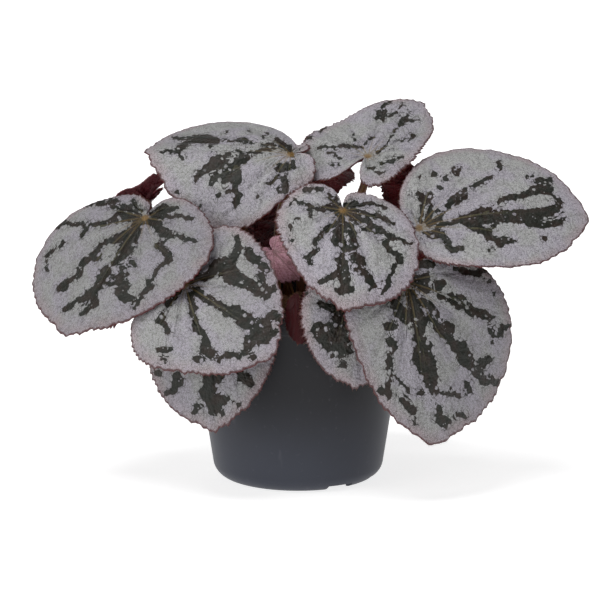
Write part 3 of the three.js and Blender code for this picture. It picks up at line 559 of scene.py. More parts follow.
class Graph:
    """The nodes of one material."""

    def __init__(self, name):
        old = bpy.data.materials.get(name)
        if old:
            bpy.data.materials.remove(old)
        self.material = bpy.data.materials.new(name)
        self.material.use_nodes = True
        self.nodes = self.material.node_tree.nodes
        self.links = self.material.node_tree.links
        self.shader = self.nodes["Principled BSDF"]

    def feed(self, socket, value):
        if isinstance(value, Wire):
            self.links.new(value.socket, socket)
        elif socket.type == "RGBA" and len(value) == 3:
            socket.default_value = (*value, 1)
        else:
            socket.default_value = value

    def node(self, kind, settings, inputs, output=0):
        """Adds a node. settings are set first, then inputs by name, identifier or number."""
        node = self.nodes.new(kind)
        for key, value in settings.items():
            setattr(node, key, value)
        for key, value in inputs.items():
            found = [s for s in node.inputs if key in (s.name, s.identifier) and s.enabled]
            self.feed(found[0] if found else node.inputs[key], value)
        return Wire(self, node.outputs[output])

    def attribute(self, name, output="Vector"):
        return self.node("ShaderNodeAttribute", {"attribute_name": name}, {}, output)

    def parts(self, vector):
        """The three numbers of a vector."""
        split = self.node("ShaderNodeSeparateXYZ", {}, {"Vector": vector})
        outputs = split.socket.node.outputs
        return [Wire(self, outputs[axis]) for axis in ("X", "Y", "Z")]

    def place(self):
        return self.node("ShaderNodeTexCoord", {}, {}, "Object")

    def noise(self, vector, scale, detail=3, roughness=0.55):
        values = {"Vector": vector, "Scale": scale, "Detail": detail, "Roughness": roughness}
        return self.node("ShaderNodeTexNoise", {"noise_dimensions": "3D"}, values, "Fac")

    def cells(self, vector, scale, feature="F1", output="Distance"):
        values = {"Vector": vector, "Scale": scale}
        return self.node("ShaderNodeTexVoronoi", {"feature": feature}, values, output)

    def mix(self, factor, first, second):
        values = {"Factor_Float": factor, "A_Color": first, "B_Color": second}
        return self.node("ShaderNodeMix", {"data_type": "RGBA"}, values, "Result")

    def stretch(self, vector, scale):
        settings = {"operation": "MULTIPLY"}
        return self.node("ShaderNodeVectorMath", settings, {0: vector, 1: scale})

    def between(self, first, second):
        settings = {"operation": "DISTANCE"}
        return self.node("ShaderNodeVectorMath", settings, {0: first, 1: second}, "Value")

    def bump(self, height, depth, strength=1.0):
        """The normal of a surface whose height runs from 0 to 1 over a depth in mm."""
        values = {"Height": height, "Distance": depth * MM, "Strength": strength}
        return self.node("ShaderNodeBump", {}, values)

    def finish(self, colour, roughness, normal, specular=0.5):
        self.feed(self.shader.inputs["Base Color"], colour)
        self.feed(self.shader.inputs["Roughness"], roughness)
        self.feed(self.shader.inputs["Normal"], normal)
        self.feed(self.shader.inputs["Specular IOR Level"], specular)
        return self.material


def ink(g, place, near, width, field, far_limit=FAR_LIMIT):
    """How far inside a stroke a point lies, in mm. Beyond far_limit the mesh's own value counts."""
    return (width - g.between(place, near)).least(field + far_limit)


def vein_ink(g, leaf, far_limit=FAR_LIMIT):
    """How far inside a vein a point lies, in mm, and its share of the way to the margin."""
    along, across = g.parts(leaf)[:2]
    width, field, share = g.parts(g.attribute("vein_shape"))
    flat = g.node("ShaderNodeCombineXYZ", {}, {"X": along, "Y": across})
    return ink(g, flat, g.attribute("vein_near"), width, field, far_limit), share


def upper_face_material():
    """Silver with dark markings, pale veins, a pebbled skin and a red margin."""
    c = colours()
    g = Graph("begonia_upper_face")
    leaf = g.attribute("leaf_place")
    along, across = g.parts(leaf)[:2]
    mark_width, mark_field, margin = g.parts(g.attribute("mark_shape"))
    mark = ink(g, g.attribute("mark_place"), g.attribute("mark_near"), mark_width, mark_field)
    vein, share = vein_ink(g, leaf)

    broad = g.noise(leaf, 0.06, 2)
    ragged = g.noise(leaf, 0.55, 3)
    pebble = g.cells(leaf, PEBBLES)
    speck_chance, stray_chance = g.parts(g.cells(leaf, PEBBLES, output="Color"))[1:]
    grain = g.noise(leaf, GRAINS, 3, 0.7)
    blob = g.cells(leaf, ISLANDS)
    isle_chance = g.parts(g.cells(leaf, ISLANDS, output="Color"))[0]

    # A stroke's edge is frayed, and silver specks and isles lie in the dark
    edge = mark + (ragged - 0.5) * 0.8 + (blob - 0.44) * 1.9 + (pebble - 0.45) * 0.35
    speck = speck_chance.above(0.95) * pebble.step(0.42, 0.28)
    isle = isle_chance.above(0.9) * (blob + (ragged - 0.5) * 0.6).step(0.46, 0.34)
    dark_share = edge.step(-0.15, 0.2) * (1 - speck * 0.7) * (1 - isle * 0.9)

    # Stray dark specks lie in the silver, and cracks run into it from the dark
    stray = stray_chance.above(0.985) * pebble.step(0.36, 0.22) * 0.6
    crack = g.cells(leaf, ISLANDS, "DISTANCE_TO_EDGE").step(0.075, 0.02) * edge.step(-1.9, -0.5)
    crack = crack * ragged.step(0.42, 0.56) * 0.85
    dark_share = dark_share.most(stray).most(crack)

    silver = g.mix(broad.step(0.38, 0.62), c.silver, c.silver_green)
    silver = g.mix(margin.step(9, 0) * (0.3 + broad.step(0.4, 0.65) * 0.4), silver, c.margin_pink)
    cloud = g.noise(leaf, 0.2, 4, 0.6)
    pores = pebble.step(0.4, 0.8) * 0.3 + grain.step(0.5, 0.66) * 0.52
    pores = pores + cloud.step(0.5, 0.72) * 0.16
    silver = g.mix(pores, silver, c.dark_brown)
    silver = g.mix(grain.step(0.5, 0.34) * 0.55, silver, c.shine)
    vein_share = vein.step(-0.15, 0.2)
    vein_tone = g.mix(share.step(0.42, 0.08) * 0.8, c.vein, c.hub)
    silver = g.mix(vein_share * share.step(0.4, 0.05) * 0.45, silver, vein_tone)
    dark = g.mix(g.noise(leaf, 0.16, 3).step(0.4, 0.64), c.dark, c.dark_brown)
    dark = g.mix(vein_share * share.step(0.75, 0.1) * 0.38, dark, vein_tone)
    colour = g.mix(dark_share, silver, dark)
    # Painted shade: a leaf that lies in less light is darkened as a whole, partly also for its own
    # darker tone
    shade = tuple(v * 0.3 for v in c.dark)
    colour = g.mix(1 - g.attribute("leaf_tone", "Fac"), colour, shade)
    hub = (along * along + across * across).step(7, 1)
    colour = g.mix(hub * 0.75, colour, c.hub)
    red = (margin + (ragged - 0.5) * 2.4).step(1.3, 0.4)
    colour = g.mix(red * 0.85, colour, c.margin_red)

    pillow = blob.step(0.8, 0.1) * 0.6 + (1 - dark_share) * 0.4
    furrow = vein_share * share.step(0.8, 0.1)
    bumps = (1 - pebble) * 0.35 + grain * 0.25 + pillow * 0.5 - furrow * 0.25
    roughness = 0.46 - dark_share * 0.1 - pebble.step(0.5, 0.1) * 0.08
    return g.finish(colour, roughness, g.bump(bumps, 1.0, 0.9), BLADE_GLOSS)


def underside_material():
    """Deep red with raised, paler veins, and pinker where a leaf's flush says so."""
    c = colours()
    g = Graph("begonia_underside")
    leaf = g.attribute("leaf_place")
    vein = vein_ink(g, leaf)[0]
    net = g.cells(leaf, 0.3, "DISTANCE_TO_EDGE")
    fine_net = g.cells(leaf, 0.85, "DISTANCE_TO_EDGE")
    colour = g.mix(g.noise(leaf, 0.12, 3).step(0.35, 0.65), c.under, c.under_dark)
    colour = g.mix(net.step(0.09, 0.0) * 0.4, colour, c.under_vein)
    colour = g.mix(fine_net.step(0.12, 0.0) * 0.18, colour, c.under_vein)
    colour = g.mix(vein.step(-0.3, 0.2) * 0.75, colour, c.under_vein)
    hairy = 0.35 + g.noise(leaf, 0.7, 3).step(0.4, 0.62) * 0.65
    colour = g.mix(g.attribute("leaf_flush", "Fac") * hairy, colour, c.under_flush)
    bumps = net.step(0.16, 0.0) * 0.6 + fine_net.step(0.2, 0.0) * 0.3 + g.noise(leaf, 1.4, 2) * 0.3
    return g.finish(colour, 0.5, g.bump(bumps, 0.6, 1.0), UNDERSIDE_GLOSS)


def unopened_blade_material():
    """Still folded: a dark, hairy red that turns lilac in places."""
    c = colours()
    g = Graph("begonia_unopened_blade")
    leaf = g.attribute("leaf_place")
    folds = g.noise(g.stretch(leaf, (0.25, 1.0, 1.0)), 0.7, 3)
    pebble = g.cells(leaf, YOUNG_PEBBLES)
    colour = g.mix(folds.step(0.35, 0.7), c.under_dark, c.unopened)
    colour = g.mix(g.noise(leaf, 0.12, 2).step(0.55, 0.75) * 0.4, colour, c.young_dark)
    normal = g.bump(folds * 0.7 + pebble * 0.3, 0.5, 0.9)
    return g.finish(colour, 0.55, normal, UNDERSIDE_GLOSS)


def young_blade_material():
    """Pink, with bronze veins and patches and no silver yet."""
    c = colours()
    g = Graph("begonia_young_blade")
    leaf = g.attribute("leaf_place")
    vein = vein_ink(g, leaf, YOUNG_FAR_LIMIT)[0]
    pebble = g.cells(leaf, YOUNG_PEBBLES)
    colour = g.mix(g.noise(leaf, 0.24, 3).step(0.46, 0.68) * 0.6, c.young, c.young_dark)
    colour = g.mix(pebble.step(0.4, 0.8) * 0.35, colour, c.young_dark)
    colour = g.mix(vein.step(-0.5, 0.1) * 0.6, colour, c.young_dark)
    bumps = (1 - pebble) * 0.8 + g.noise(leaf, 2.6, 2) * 0.2
    return g.finish(colour, 0.5, g.bump(bumps, 0.3, 0.7), YOUNG_GLOSS)


def stalk_material():
    """Red brown, with pale streaks along it and darker spots."""
    c = colours()
    g = Graph("begonia_stalk")
    skin = g.attribute("stalk_place")
    streaks = g.noise(g.stretch(skin, (1.0, 0.08, 1.0)), 0.9, 3)
    spots = g.cells(g.stretch(skin, (1.0, 0.45, 1.0)), 0.8)
    paler = g.parts(skin)[2].step(0.8, 1.0) * 0.2  # on all stalks but one side of the first
    colour = g.mix(streaks.step(0.42, 0.66) * 0.7 + paler, c.stalk, c.stalk_pale)
    colour = g.mix(spots.step(0.22, 0.08) * 0.6, colour, c.hair)
    return g.finish(colour, 0.45, g.bump(streaks * 0.7 + spots * 0.3, 0.25, 0.6))


def hair_material():
    c = colours()
    g = Graph("begonia_hair")
    shade = g.noise(g.place(), 700, 1)
    colour = g.mix(shade.step(0.35, 0.65) * 0.6, c.hair, c.stalk_pale)
    return g.finish(colour, 0.5, g.bump(shade, 0.01, 0.2))


def pot_material():
    """Moulded plastic with a satin grain, faint rings of the mould, a little dust, and painted light
    that makes it lighter and bluer towards the foot.
    """
    c = colours()
    g = Graph("begonia_pot_plastic")
    place = g.place()
    height = g.parts(place)[2]
    cloud = g.noise(place, 22, 4)
    grain = g.noise(place, 1500, 2)
    rings = g.noise(g.stretch(place, (0.02, 0.02, 1.0)), 900, 2)
    dust = g.noise(place, 260, 4, 0.7).step(0.6, 0.78) * 0.07
    scuff = g.noise(g.stretch(place, (1.0, 1.0, 0.35)), 90, 3).step(0.62, 0.75) * 0.06
    colour = g.mix(cloud.step(0.35, 0.65) * 0.25, c.pot, tuple(v * 1.35 for v in c.pot))
    # Painted light: the pot turns lighter and bluer towards its foot, as if lit from the floor below
    foot_light = (height + (cloud - 0.5) * 0.02).step(0.062, 0.004) * 0.13
    colour = g.mix(foot_light, colour, c.pot_foot_light)
    colour = g.mix(dust + scuff, colour, c.silver)
    roughness = 0.4 + cloud * 0.1 + dust * 2 + scuff * 0.5
    bumps = grain * 0.6 + rings * 0.4
    return g.finish(colour, roughness, g.bump(bumps, 0.05, 0.5), POT_GLOSS)


def soil_material():
    """Damp peat with dry fibres."""
    c = colours()
    g = Graph("begonia_potting_soil")
    place = g.place()
    lumps = g.noise(place, 260, 5, 0.65)
    fibres = g.cells(g.stretch(place, (1.0, 2.6, 1.0)), 420)
    colour = g.mix(lumps.step(0.45, 0.7), c.soil, c.soil_dry)
    colour = g.mix(fibres.step(0.25, 0.08) * 0.4, colour, c.bark)
    return g.finish(colour, 0.92, g.bump(lumps * 0.7 + fibres * 0.3, 1.2, 0.9))


def crumb_material(name, first, second):
    g = Graph(name)
    lumps = g.noise(g.place(), 900, 4, 0.65)
    colour = g.mix(lumps.step(0.4, 0.68), first, second)
    return g.finish(colour, 0.9, g.bump(lumps, 0.4, 0.8))


def stem_material():
    """Corky skin, darker in the ring scars."""
    c = colours()
    g = Graph("begonia_creeping_stem")
    skin = g.attribute("stem_place")
    scar = g.parts(skin)[2]
    cork = g.noise(g.stretch(skin, (1.0, 0.4, 0.0)), 1.1, 4)
    flakes = g.cells(skin, 0.7)
    colour = g.mix(cork.step(0.4, 0.65) * 0.6 + scar * 0.6, c.bark, c.bark_dark)
    colour = g.mix(flakes.step(0.2, 0.05) * 0.3, colour, c.stalk_pale)
    return g.finish(colour, 0.75, g.bump(cork * 0.7 + flakes * 0.3, 0.5, 0.8))


def floor_material():
    c = colours()
    g = Graph("begonia_floor")
    mottle = g.noise(g.place(), 9, 2)
    colour = g.mix(mottle.step(0.4, 0.6) * 0.3, c.floor, tuple(v * 0.99 for v in c.floor))
    g.feed(g.shader.inputs["Emission Color"], (1, 1, 1))
    g.feed(g.shader.inputs["Emission Strength"], FLOOR_GLOW)
    return g.finish(colour, 0.85, g.bump(mottle, 0.02, 0.1), FLOOR_GLOSS)


# Meshes

def mesh_of(bm, name):
    """Closes a bmesh into a mesh with smooth faces."""
    mesh = bpy.data.meshes.new(name)
    bm.to_mesh(mesh)
    bm.free()
    mesh.shade_smooth()
    return mesh


def corners_of(mesh):
    flat = np.empty(len(mesh.vertices) * 3, np.float32)
    mesh.vertices.foreach_get("co", flat)
    return flat.reshape(-1, 3).astype(float)


def place_corners(mesh, points_mm):
    """Writes the corners' places, given in mm, to the mesh in metres."""
    if not np.isfinite(points_mm).all():
        raise RuntimeError(f"{mesh.name} has a corner with no real place")
    mesh.vertices.foreach_set("co", (points_mm * MM).astype(np.float32).ravel())
    mesh.update()


def store(mesh, name, values):
    """Keeps a number or a vector for each corner, for the material to read."""
    values = np.asarray(values, np.float32)
    kind, key = ("FLOAT_VECTOR", "vector") if values.ndim == 2 else ("FLOAT", "value")
    attribute = mesh.attributes.new(name, kind, "POINT")
    attribute.data.foreach_set(key, values.ravel())


def add_piece(name, mesh, materials, slot, *nodes):
    """Puts a finished mesh in the scene as a piece that rides on the plant's one body."""
    if not mesh.polygons:
        raise RuntimeError(f"{name} has no faces")
    for material in materials:
        mesh.materials.append(material)
    piece = bpy.data.objects.new(name, mesh)
    bpy.context.scene.collection.objects.link(piece)
    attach(piece, "root")
    if nodes:
        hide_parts(*nodes)
    return piece


def copies(name, template, count):
    """count copies of a small closed form in one mesh, and the form's own corners."""
    bm = bmesh.new()
    template(bm)
    bm.verts.index_update()
    form = np.array([v.co for v in bm.verts])
    parts = bm.verts[:] + bm.edges[:] + bm.faces[:]
    turn = 2 * math.pi * (count - 1) / count
    bmesh.ops.spin(
        bm, geom=parts, cent=(0, 0, 0), axis=(0, 0, 1), angle=turn, steps=count - 1,
        use_duplicate=True)
    mesh = mesh_of(bm, name)
    if len(mesh.vertices) != count * len(form):
        raise RuntimeError(f"{name} has {len(mesh.vertices)} corners")
    return mesh, form


def spike(bm):
    """A three-sided spike, 1 long and of radius 1, standing on the origin."""
    bmesh.ops.create_cone(bm, cap_ends=True, segments=3, radius1=1, radius2=0, depth=1)
    bmesh.ops.remove_doubles(bm, verts=bm.verts, dist=1e-5)
    bmesh.ops.translate(bm, verts=bm.verts, vec=(0, 0, 0.5))


def crumb(bm):
    """A ball of radius 1 with few faces."""
    bmesh.ops.create_icosphere(bm, subdivisions=1, radius=1)


def unit(vectors):
    return vectors / np.linalg.norm(vectors, axis=-1, keepdims=True)


def hairs(name, bases, directions, lengths, radius):
    """Thin spikes from the given places, in mm, as one mesh."""
    mesh, form = copies(name, spike, len(bases))
    directions = unit(directions)
    helper = np.where(np.abs(directions[:, 2:]) < 0.9, [[0, 0, 1.0]], [[1.0, 0, 0]])
    side = unit(np.cross(directions, helper))
    other = np.cross(directions, side)
    points = (
        bases[:, None]
        + side[:, None] * form[None, :, 0:1] * radius
        + other[:, None] * form[None, :, 1:2] * radius
        + directions[:, None] * form[None, :, 2:3] * lengths[:, None, None])
    place_corners(mesh, points.reshape(-1, 3))
    return mesh


# Leaves

class Leaf:
    """The form of one leaf, in mm, by the same rules as its solids."""

    def __init__(self, name):
        row = LEAVES[name]
        self.name = name
        self.order = list(LEAVES).index(name)
        self.young = row.get("young", False)
        self.unopened = row.get("unopened", False)
        self.seen = name in MARKINGS
        self.hub = np.array(row["hub"], float)
        self.reaches = np.array(row["reach"], float)
        self.size = self.reaches.mean()
        self.drop = row["drop"]
        self.wave = row["wave"]
        self.fold = row.get("fold")
        self.foot = np.array([*row["foot"], SOIL_LEVEL - SOCKET_DEPTH], float)
        self.via = [np.array(point, float) for point in row.get("via", ())]
        self.lead = row.get("lead", STALK_LEAD)
        self.stalk = row["stalk"]
        self.veins = row.get("veins", MAIN_VEINS)
        self.tone = row.get("tone", 0.95)
        self.flush = row.get("flush", 0)
        azimuth, elevation = (math.radians(angle) for angle in row["facing"])
        self.out = np.array([
            math.cos(elevation) * math.cos(azimuth),
            math.cos(elevation) * math.sin(azimuth),
            math.sin(elevation)])
        downhill = unit(np.array([0, 0, -1]) + self.out * self.out[2])
        sideways = np.cross(self.out, downhill)
        turn = math.radians(row["turn"])
        self.tip = math.cos(turn) * downhill + math.sin(turn) * sideways
        self.left = np.cross(self.out, self.tip)
        self.random = np.random.default_rng(100 + self.order)

    def reach(self, angle):
        """Distance from hub to margin, without teeth."""
        count = len(self.reaches)
        part = (angle / (2 * math.pi) + 2) % 1 * count
        first = np.floor(part).astype(int)
        t = part - first
        a, b, c, d = (self.reaches[(first + step) % count] for step in (-1, 0, 1, 2))
        smooth = 0.5 * (
            2 * b + (c - a) * t + (2 * a - 5 * b + 4 * c - d) * t ** 2
            + (3 * b - 3 * c + d - a) * t ** 3)
        from_notch = math.pi - np.abs(angle)
        notch = 1 - SINUS_DEPTH * np.exp(-(from_notch / SINUS_WIDTH) ** 2)
        return smooth * notch * (1 + TIP_POINT * np.exp(-(angle / TIP_WIDTH) ** 2))

    def tooth(self, angle):
        """The margin's teeth: one for each of the solid's, with two finer sets on them."""
        big = -np.sin(TOOTH_COUNT * angle) * (0.36 + 0.28 * np.sin(5 * angle + self.order))
        small = 0.5 * np.sin(SMALL_TEETH * angle + 2 * self.order) * np.cos(3 * angle)
        count = FINE_TEETH_SEEN if self.seen else FINE_TEETH_FAR
        fine = np.sin(count * angle + self.order) * (0.4 + 0.25 * np.sin(7 * angle + self.order))
        sharp = 1.25 if self.seen else 1.4
        full = np.minimum(self.reach(angle) / TOOTH_FULL_REACH, 1)
        return TOOTH * sharp * (big + small + fine) * full

    def lift(self, along, across, share, angle):
        """Height of the upper face above the blade's plane."""
        a = along / self.size
        b = across / self.size
        tip_drop, heel_drop, left_drop, right_drop = self.drop
        height, count, phase = self.wave
        lift = -np.where(a > 0, tip_drop, heel_drop) * a * a
        lift -= np.where(b > 0, left_drop, right_drop) * b * b
        if self.fold:
            soft = np.sqrt(b * b + FOLD_SOFTNESS) - math.sqrt(FOLD_SOFTNESS)
            lift -= np.where(b > 0, *self.fold) * soft
        ripple = height * share ** 2 * np.minimum(np.hypot(a, b), 1)
        lift += ripple * np.sin(count * angle + math.radians(phase))
        return lift + HUB_DIMPLE * (1 - np.exp(-(along ** 2 + across ** 2) / HUB_DIMPLE_RADIUS ** 2))

    def place(self, along, across, height):
        return (
            self.hub + np.multiply.outer(along, self.tip)
            + np.multiply.outer(across, self.left) + np.multiply.outer(height, self.out))

    def spot(self, angle, share):
        """The along and across of a point at a share of the reach."""
        radius = self.reach(angle) * share
        return np.stack([radius * np.cos(angle), radius * np.sin(angle)], -1)

    def vein_lines(self):
        """Main veins from the hub and their forks, as chains of along, across, half width."""
        lines = []
        directions = sorted(math.radians(angle) for angle in self.veins)
        for index, angle in enumerate(directions):
            gaps = [
                (directions[(index + 1) % len(directions)] - angle) % (2 * math.pi),
                (angle - directions[index - 1]) % (2 * math.pi)]
            share = np.linspace(0, VEIN_END, VEIN_POINTS)
            width = self.size * 0.012 * (1 - 0.75 * share) + 0.1
            lines.append(np.column_stack([self.spot(np.full(VEIN_POINTS, angle), share), width]))
            for side, gap in zip((1, -1), gaps):
                for start, spread in FORKS:
                    start += 0.05 * math.sin(7 * angle + side + self.order)
                    share = np.linspace(start, FORK_END, FORK_POINTS)
                    bend = ((share - start) / (1 - start)) ** 0.8
                    bent = angle + side * gap * spread * bend
                    width = (self.size * 0.005 + 0.08) * (1 - 0.7 * bend)
                    lines.append(np.column_stack([self.spot(bent, share), width]))
        return lines

    def drawn_marks(self):
        """The dark strokes of the reference view, in mm on that view's plane."""
        lines = []
        for stroke in MARKINGS[self.name].split("|"):
            points = [[float(v) for v in point.split(",")] for point in stroke.split(";")]
            lines.append(np.array(points) / PIXELS_PER_MM + [0, 0, MARK_GROWTH[self.name]])
        return lines

    def grown_marks(self):
        """Dark strokes by rule, for a leaf that the reference view hides: broken bands along the
        veins with lobes at their sides, and loose flecks further out."""
        draw = self.random
        lines = []
        for angle in (math.radians(vein) for vein in self.veins):
            start = draw.uniform(0.03, 0.1)
            while start < 0.8:
                end = min(start + draw.uniform(0.14, 0.36), 0.9)
                share = np.linspace(start, end, 5)
                band = angle + draw.uniform(-0.1, 0.1) + draw.uniform(-0.07, 0.07, 5)
                width = self.size * draw.uniform(0.045, 0.095) * (1 - 0.5 * end)
                widths = width * draw.uniform(0.5, 1.2, 5)
                lines.append(np.column_stack([self.spot(band, share), widths]))
                if draw.random() < 0.7:
                    root = draw.integers(1, 4)
                    lobe = band[root] + draw.choice([-1, 1]) * np.array([0, draw.uniform(0.12, 0.34)])
                    away = share[root] + np.array([0, draw.uniform(0.02, 0.12)])
                    lines.append(np.column_stack([self.spot(lobe, away), [width * 0.7, width * 0.35]]))
                start = end + draw.uniform(0.02, 0.14)
        for _ in range(FLECKS):
            share = draw.uniform(0.45, 0.92) + np.array([0, 0.05])
            fleck = draw.uniform(-math.pi, math.pi) + np.array([0, draw.uniform(-0.1, 0.1)])
            width = self.size * draw.uniform(0.006, 0.022, 2)
            lines.append(np.column_stack([self.spot(fleck, share), width]))
        return lines


def picture_place(points):
    """Where points in mm lie on the reference view's plane through the pot, in mm from its corner."""
    forward = np.array([0, math.cos(CAMERA_ELEVATION), -math.sin(CAMERA_ELEVATION)])
    up = np.array([0, math.sin(CAMERA_ELEVATION), math.cos(CAMERA_ELEVATION)])
    offset = points - (CAMERA_TARGET - forward * CAMERA_DISTANCE)
    depth = offset @ forward
    middle = PICTURE_SIZE / 2
    across = middle + PICTURE_FOCAL * offset[:, 0] / depth
    down = middle - PICTURE_FOCAL * (offset @ up) / depth
    return np.column_stack([across, down]) / PIXELS_PER_MM


def nearest_on(points, lines):
    """For each point, the nearest place on the strokes, their half width there, and how far inside
    a stroke the point lies. Further than STROKE_REACH from all of them, it is left at that."""
    near = np.full_like(points, -1e3)
    width = np.zeros(len(points))
    field = np.full(len(points), -STROKE_REACH)
    for line in lines:
        ends = zip(line, line[1:]) if len(line) > 1 else [(line[0], line[0])]
        for start, end in ends:
            run = end[:2] - start[:2]
            reach = np.hypot(*run) / 2 + max(start[2], end[2]) + STROKE_REACH
            middle = (start[:2] + end[:2]) / 2
            close = np.flatnonzero((np.abs(points - middle) < reach).all(axis=1))
            part = np.clip((points[close] - start[:2]) @ run / max(run @ run, 1e-9), 0, 1)
            place = start[:2] + part[:, None] * run
            wide = start[2] + part * (end[2] - start[2])
            inside = wide - np.linalg.norm(points[close] - place, axis=1)
            better = inside > field[close]
            near[close[better]] = place[better]
            width[close[better]] = wide[better]
            field[close[better]] = inside[better]
    return near, width, field


def open_spots(name, points, field):
    """Takes the silver spots out of the markings."""
    for spot in SILVER_SPOTS.get(name, "").split(";"):
        if spot:
            across, down, radius = (float(value) / PIXELS_PER_MM for value in spot.split(","))
            outside = np.hypot(points[:, 0] - across, points[:, 1] - down) - radius
            field = np.minimum(field, outside - FAR_LIMIT)
    return field


def blade_disc(name, spokes, rings):
    """A closed disc of radius 1 whose upper face is at z 1 and whose underside is at z 0."""
    bm = bmesh.new()
    spoke = [bm.verts.new((ring / rings, 0, 0)) for ring in range(rings + 1)]
    for inner, outer in zip(spoke, spoke[1:]):
        bm.edges.new((inner, outer))
    bmesh.ops.spin(
        bm, geom=bm.verts[:] + bm.edges[:], cent=(0, 0, 0), axis=(0, 0, 1), angle=2 * math.pi,
        steps=spokes, use_merge=True)
    bmesh.ops.remove_doubles(bm, verts=bm.verts, dist=1e-6)
    raised = bmesh.ops.extrude_face_region(bm, geom=bm.faces[:], use_keep_orig=True)
    top = [part for part in raised["geom"] if isinstance(part, bmesh.types.BMVert)]
    bmesh.ops.translate(bm, verts=top, vec=(0, 0, 1))
    bmesh.ops.recalc_face_normals(bm, faces=bm.faces)
    return mesh_of(bm, name)


def relief(leaf, vein_field, vein_width, share):
    """Height of the upper face's swelling between the veins and its groove at them."""
    s = sizes()
    gap = np.maximum(-vein_field, 0)
    strength = np.clip(vein_width / (leaf.size * STRONG_VEIN), 0.3, 1)
    swell = s.pucker / MM * (1 - strength * np.exp(-(gap / SWELL_WIDTH) ** 2))
    groove = s.vein_groove / MM * strength * np.exp(-(gap / GROOVE_WIDTH) ** 2)
    groove *= 1 - 0.6 * share
    groove *= np.minimum(share * 5, 1)
    return (swell - groove) * np.minimum(1, (1 - share) * 9 + 0.25) * (0.4 if leaf.young else 1)


def make_blade(leaf, disc, materials):
    s = sizes()
    mesh = disc.copy()
    mesh.name = f"{leaf.name}_fine_blade"
    faces_below = np.array([face.center.z < 0.9 for face in mesh.polygons], np.int32)
    mesh.polygons.foreach_set("material_index", faces_below)
    start = corners_of(mesh)
    share = np.hypot(start[:, 0], start[:, 1])
    angle = np.arctan2(start[:, 1], start[:, 0])
    above = start[:, 2] > 0.5
    reach = leaf.reach(angle)
    radius = reach * share + leaf.tooth(angle) * share ** 6
    along = radius * np.cos(angle)
    across = radius * np.sin(angle)
    leaf_plane = np.column_stack([along, across])
    vein_near, vein_width, vein_field = nearest_on(leaf_plane, leaf.vein_lines())

    lift = leaf.lift(along, across, share, angle) + relief(leaf, vein_field, vein_width, share)
    rim = s.margin_thickness / MM
    thickness = rim + (BLADE_THICKNESS - rim) * (1 - share ** 2)
    gap = np.maximum(-vein_field, 0)
    ridge = s.vein_ridge / MM * np.exp(-(gap / RIDGE_WIDTH) ** 2) * (1 - share ** 2)
    height = np.where(above, lift, lift - thickness - ridge * np.minimum(share * 4, 1))
    points = leaf.place(along, across, height)
    place_corners(mesh, points)
    mesh.set_sharp_from_angle(angle=math.radians(60))

    if leaf.seen:
        mark_plane = picture_place(points)
        near, width, field = nearest_on(mark_plane, leaf.drawn_marks())
        field = open_spots(leaf.name, mark_plane, field)
    else:
        mark_plane = leaf_plane
        near, width, field = nearest_on(mark_plane, leaf.grown_marks())
    zero = np.zeros(len(points))
    store(mesh, "leaf_place", np.column_stack([leaf_plane, zero + 40 * leaf.order]))
    store(mesh, "leaf_tone", zero + leaf.tone)
    store(mesh, "leaf_flush", zero + leaf.flush)
    store(mesh, "mark_place", np.column_stack([mark_plane, zero]))
    store(mesh, "mark_near", np.column_stack([near, zero]))
    store(mesh, "mark_shape", np.column_stack([width, field, reach * (1 - share)]))
    store(mesh, "vein_near", np.column_stack([vein_near, zero]))
    store(mesh, "vein_shape", np.column_stack([vein_width, vein_field, share]))

    slot = "young_blade" if leaf.young else "leaf_blade"
    add_piece(mesh.name, mesh, materials, slot, f"{leaf.name}_blade")


def stalk_points(leaf):
    """The corners of the stalk's smooth path, as its solid has them."""
    rise = unit(np.array([
        (leaf.hub[0] - leaf.foot[0]) * STALK_LEAN, (leaf.hub[1] - leaf.foot[1]) * STALK_LEAN, 1]))
    top = leaf.hub - leaf.out * (BLADE_THICKNESS * 0.7)
    return [
        leaf.foot, leaf.foot + rise * STALK_RISE / 2, leaf.foot + rise * STALK_RISE, *leaf.via,
        top - leaf.out * leaf.lead, top]


def smooth_path(corners, steps):
    """A centripetal Catmull-Rom curve through the corners, as steps + 1 points."""
    corners = np.array(corners)
    first = 2 * corners[0] - corners[1]
    last = 2 * corners[-1] - corners[-2]
    chain = np.vstack([first, corners, last])
    fine = []
    for index in range(1, len(chain) - 2):
        a, b, c, d = chain[index - 1:index + 3]
        ab, bc, cd = (np.linalg.norm(q - p) ** 0.5 for p, q in ((a, b), (b, c), (c, d)))
        leave = ((b - a) / ab - (c - a) / (ab + bc) + (c - b) / bc) * bc
        arrive = ((c - b) / bc - (d - b) / (bc + cd) + (d - c) / cd) * bc
        for t in np.linspace(0, 1, CURVE_STEPS, endpoint=False):
            fine.append(
                b + leave * t + (3 * (c - b) - 2 * leave - arrive) * t ** 2
                + (2 * (b - c) + leave + arrive) * t ** 3)
    fine.append(corners[-1])
    fine = np.array(fine)
    length = np.concatenate([[0], np.cumsum(np.linalg.norm(np.diff(fine, axis=0), axis=1))])
    wanted = np.linspace(0, length[-1], steps + 1)
    return np.column_stack([np.interp(wanted, length, fine[:, axis]) for axis in range(3)]), length[-1]


def path_frames(path):
    """The tangent and two square directions at each point, with no twist."""
    tangent = unit(np.gradient(path, axis=0))
    side = np.cross(tangent[0], [0, 1, 0])
    sides = []
    for direction in tangent:
        side = unit(side - direction * (side @ direction))
        sides.append(side)
    sides = np.array(sides)
    return tangent, sides, np.cross(tangent, sides)


def tube(name, sides, rings):
    """A closed tube of radius 1 from z 0 to z 1."""
    bm = bmesh.new()
    bmesh.ops.create_cone(bm, cap_ends=True, segments=sides, radius1=1, radius2=1, depth=1)
    upright = [edge for edge in bm.edges if abs(edge.verts[0].co.z - edge.verts[1].co.z) > 0.5]
    bmesh.ops.subdivide_edges(bm, edges=upright, cuts=rings - 1, use_grid_fill=True)
    bmesh.ops.translate(bm, verts=bm.verts, vec=(0, 0, 0.5))
    return mesh_of(bm, name)


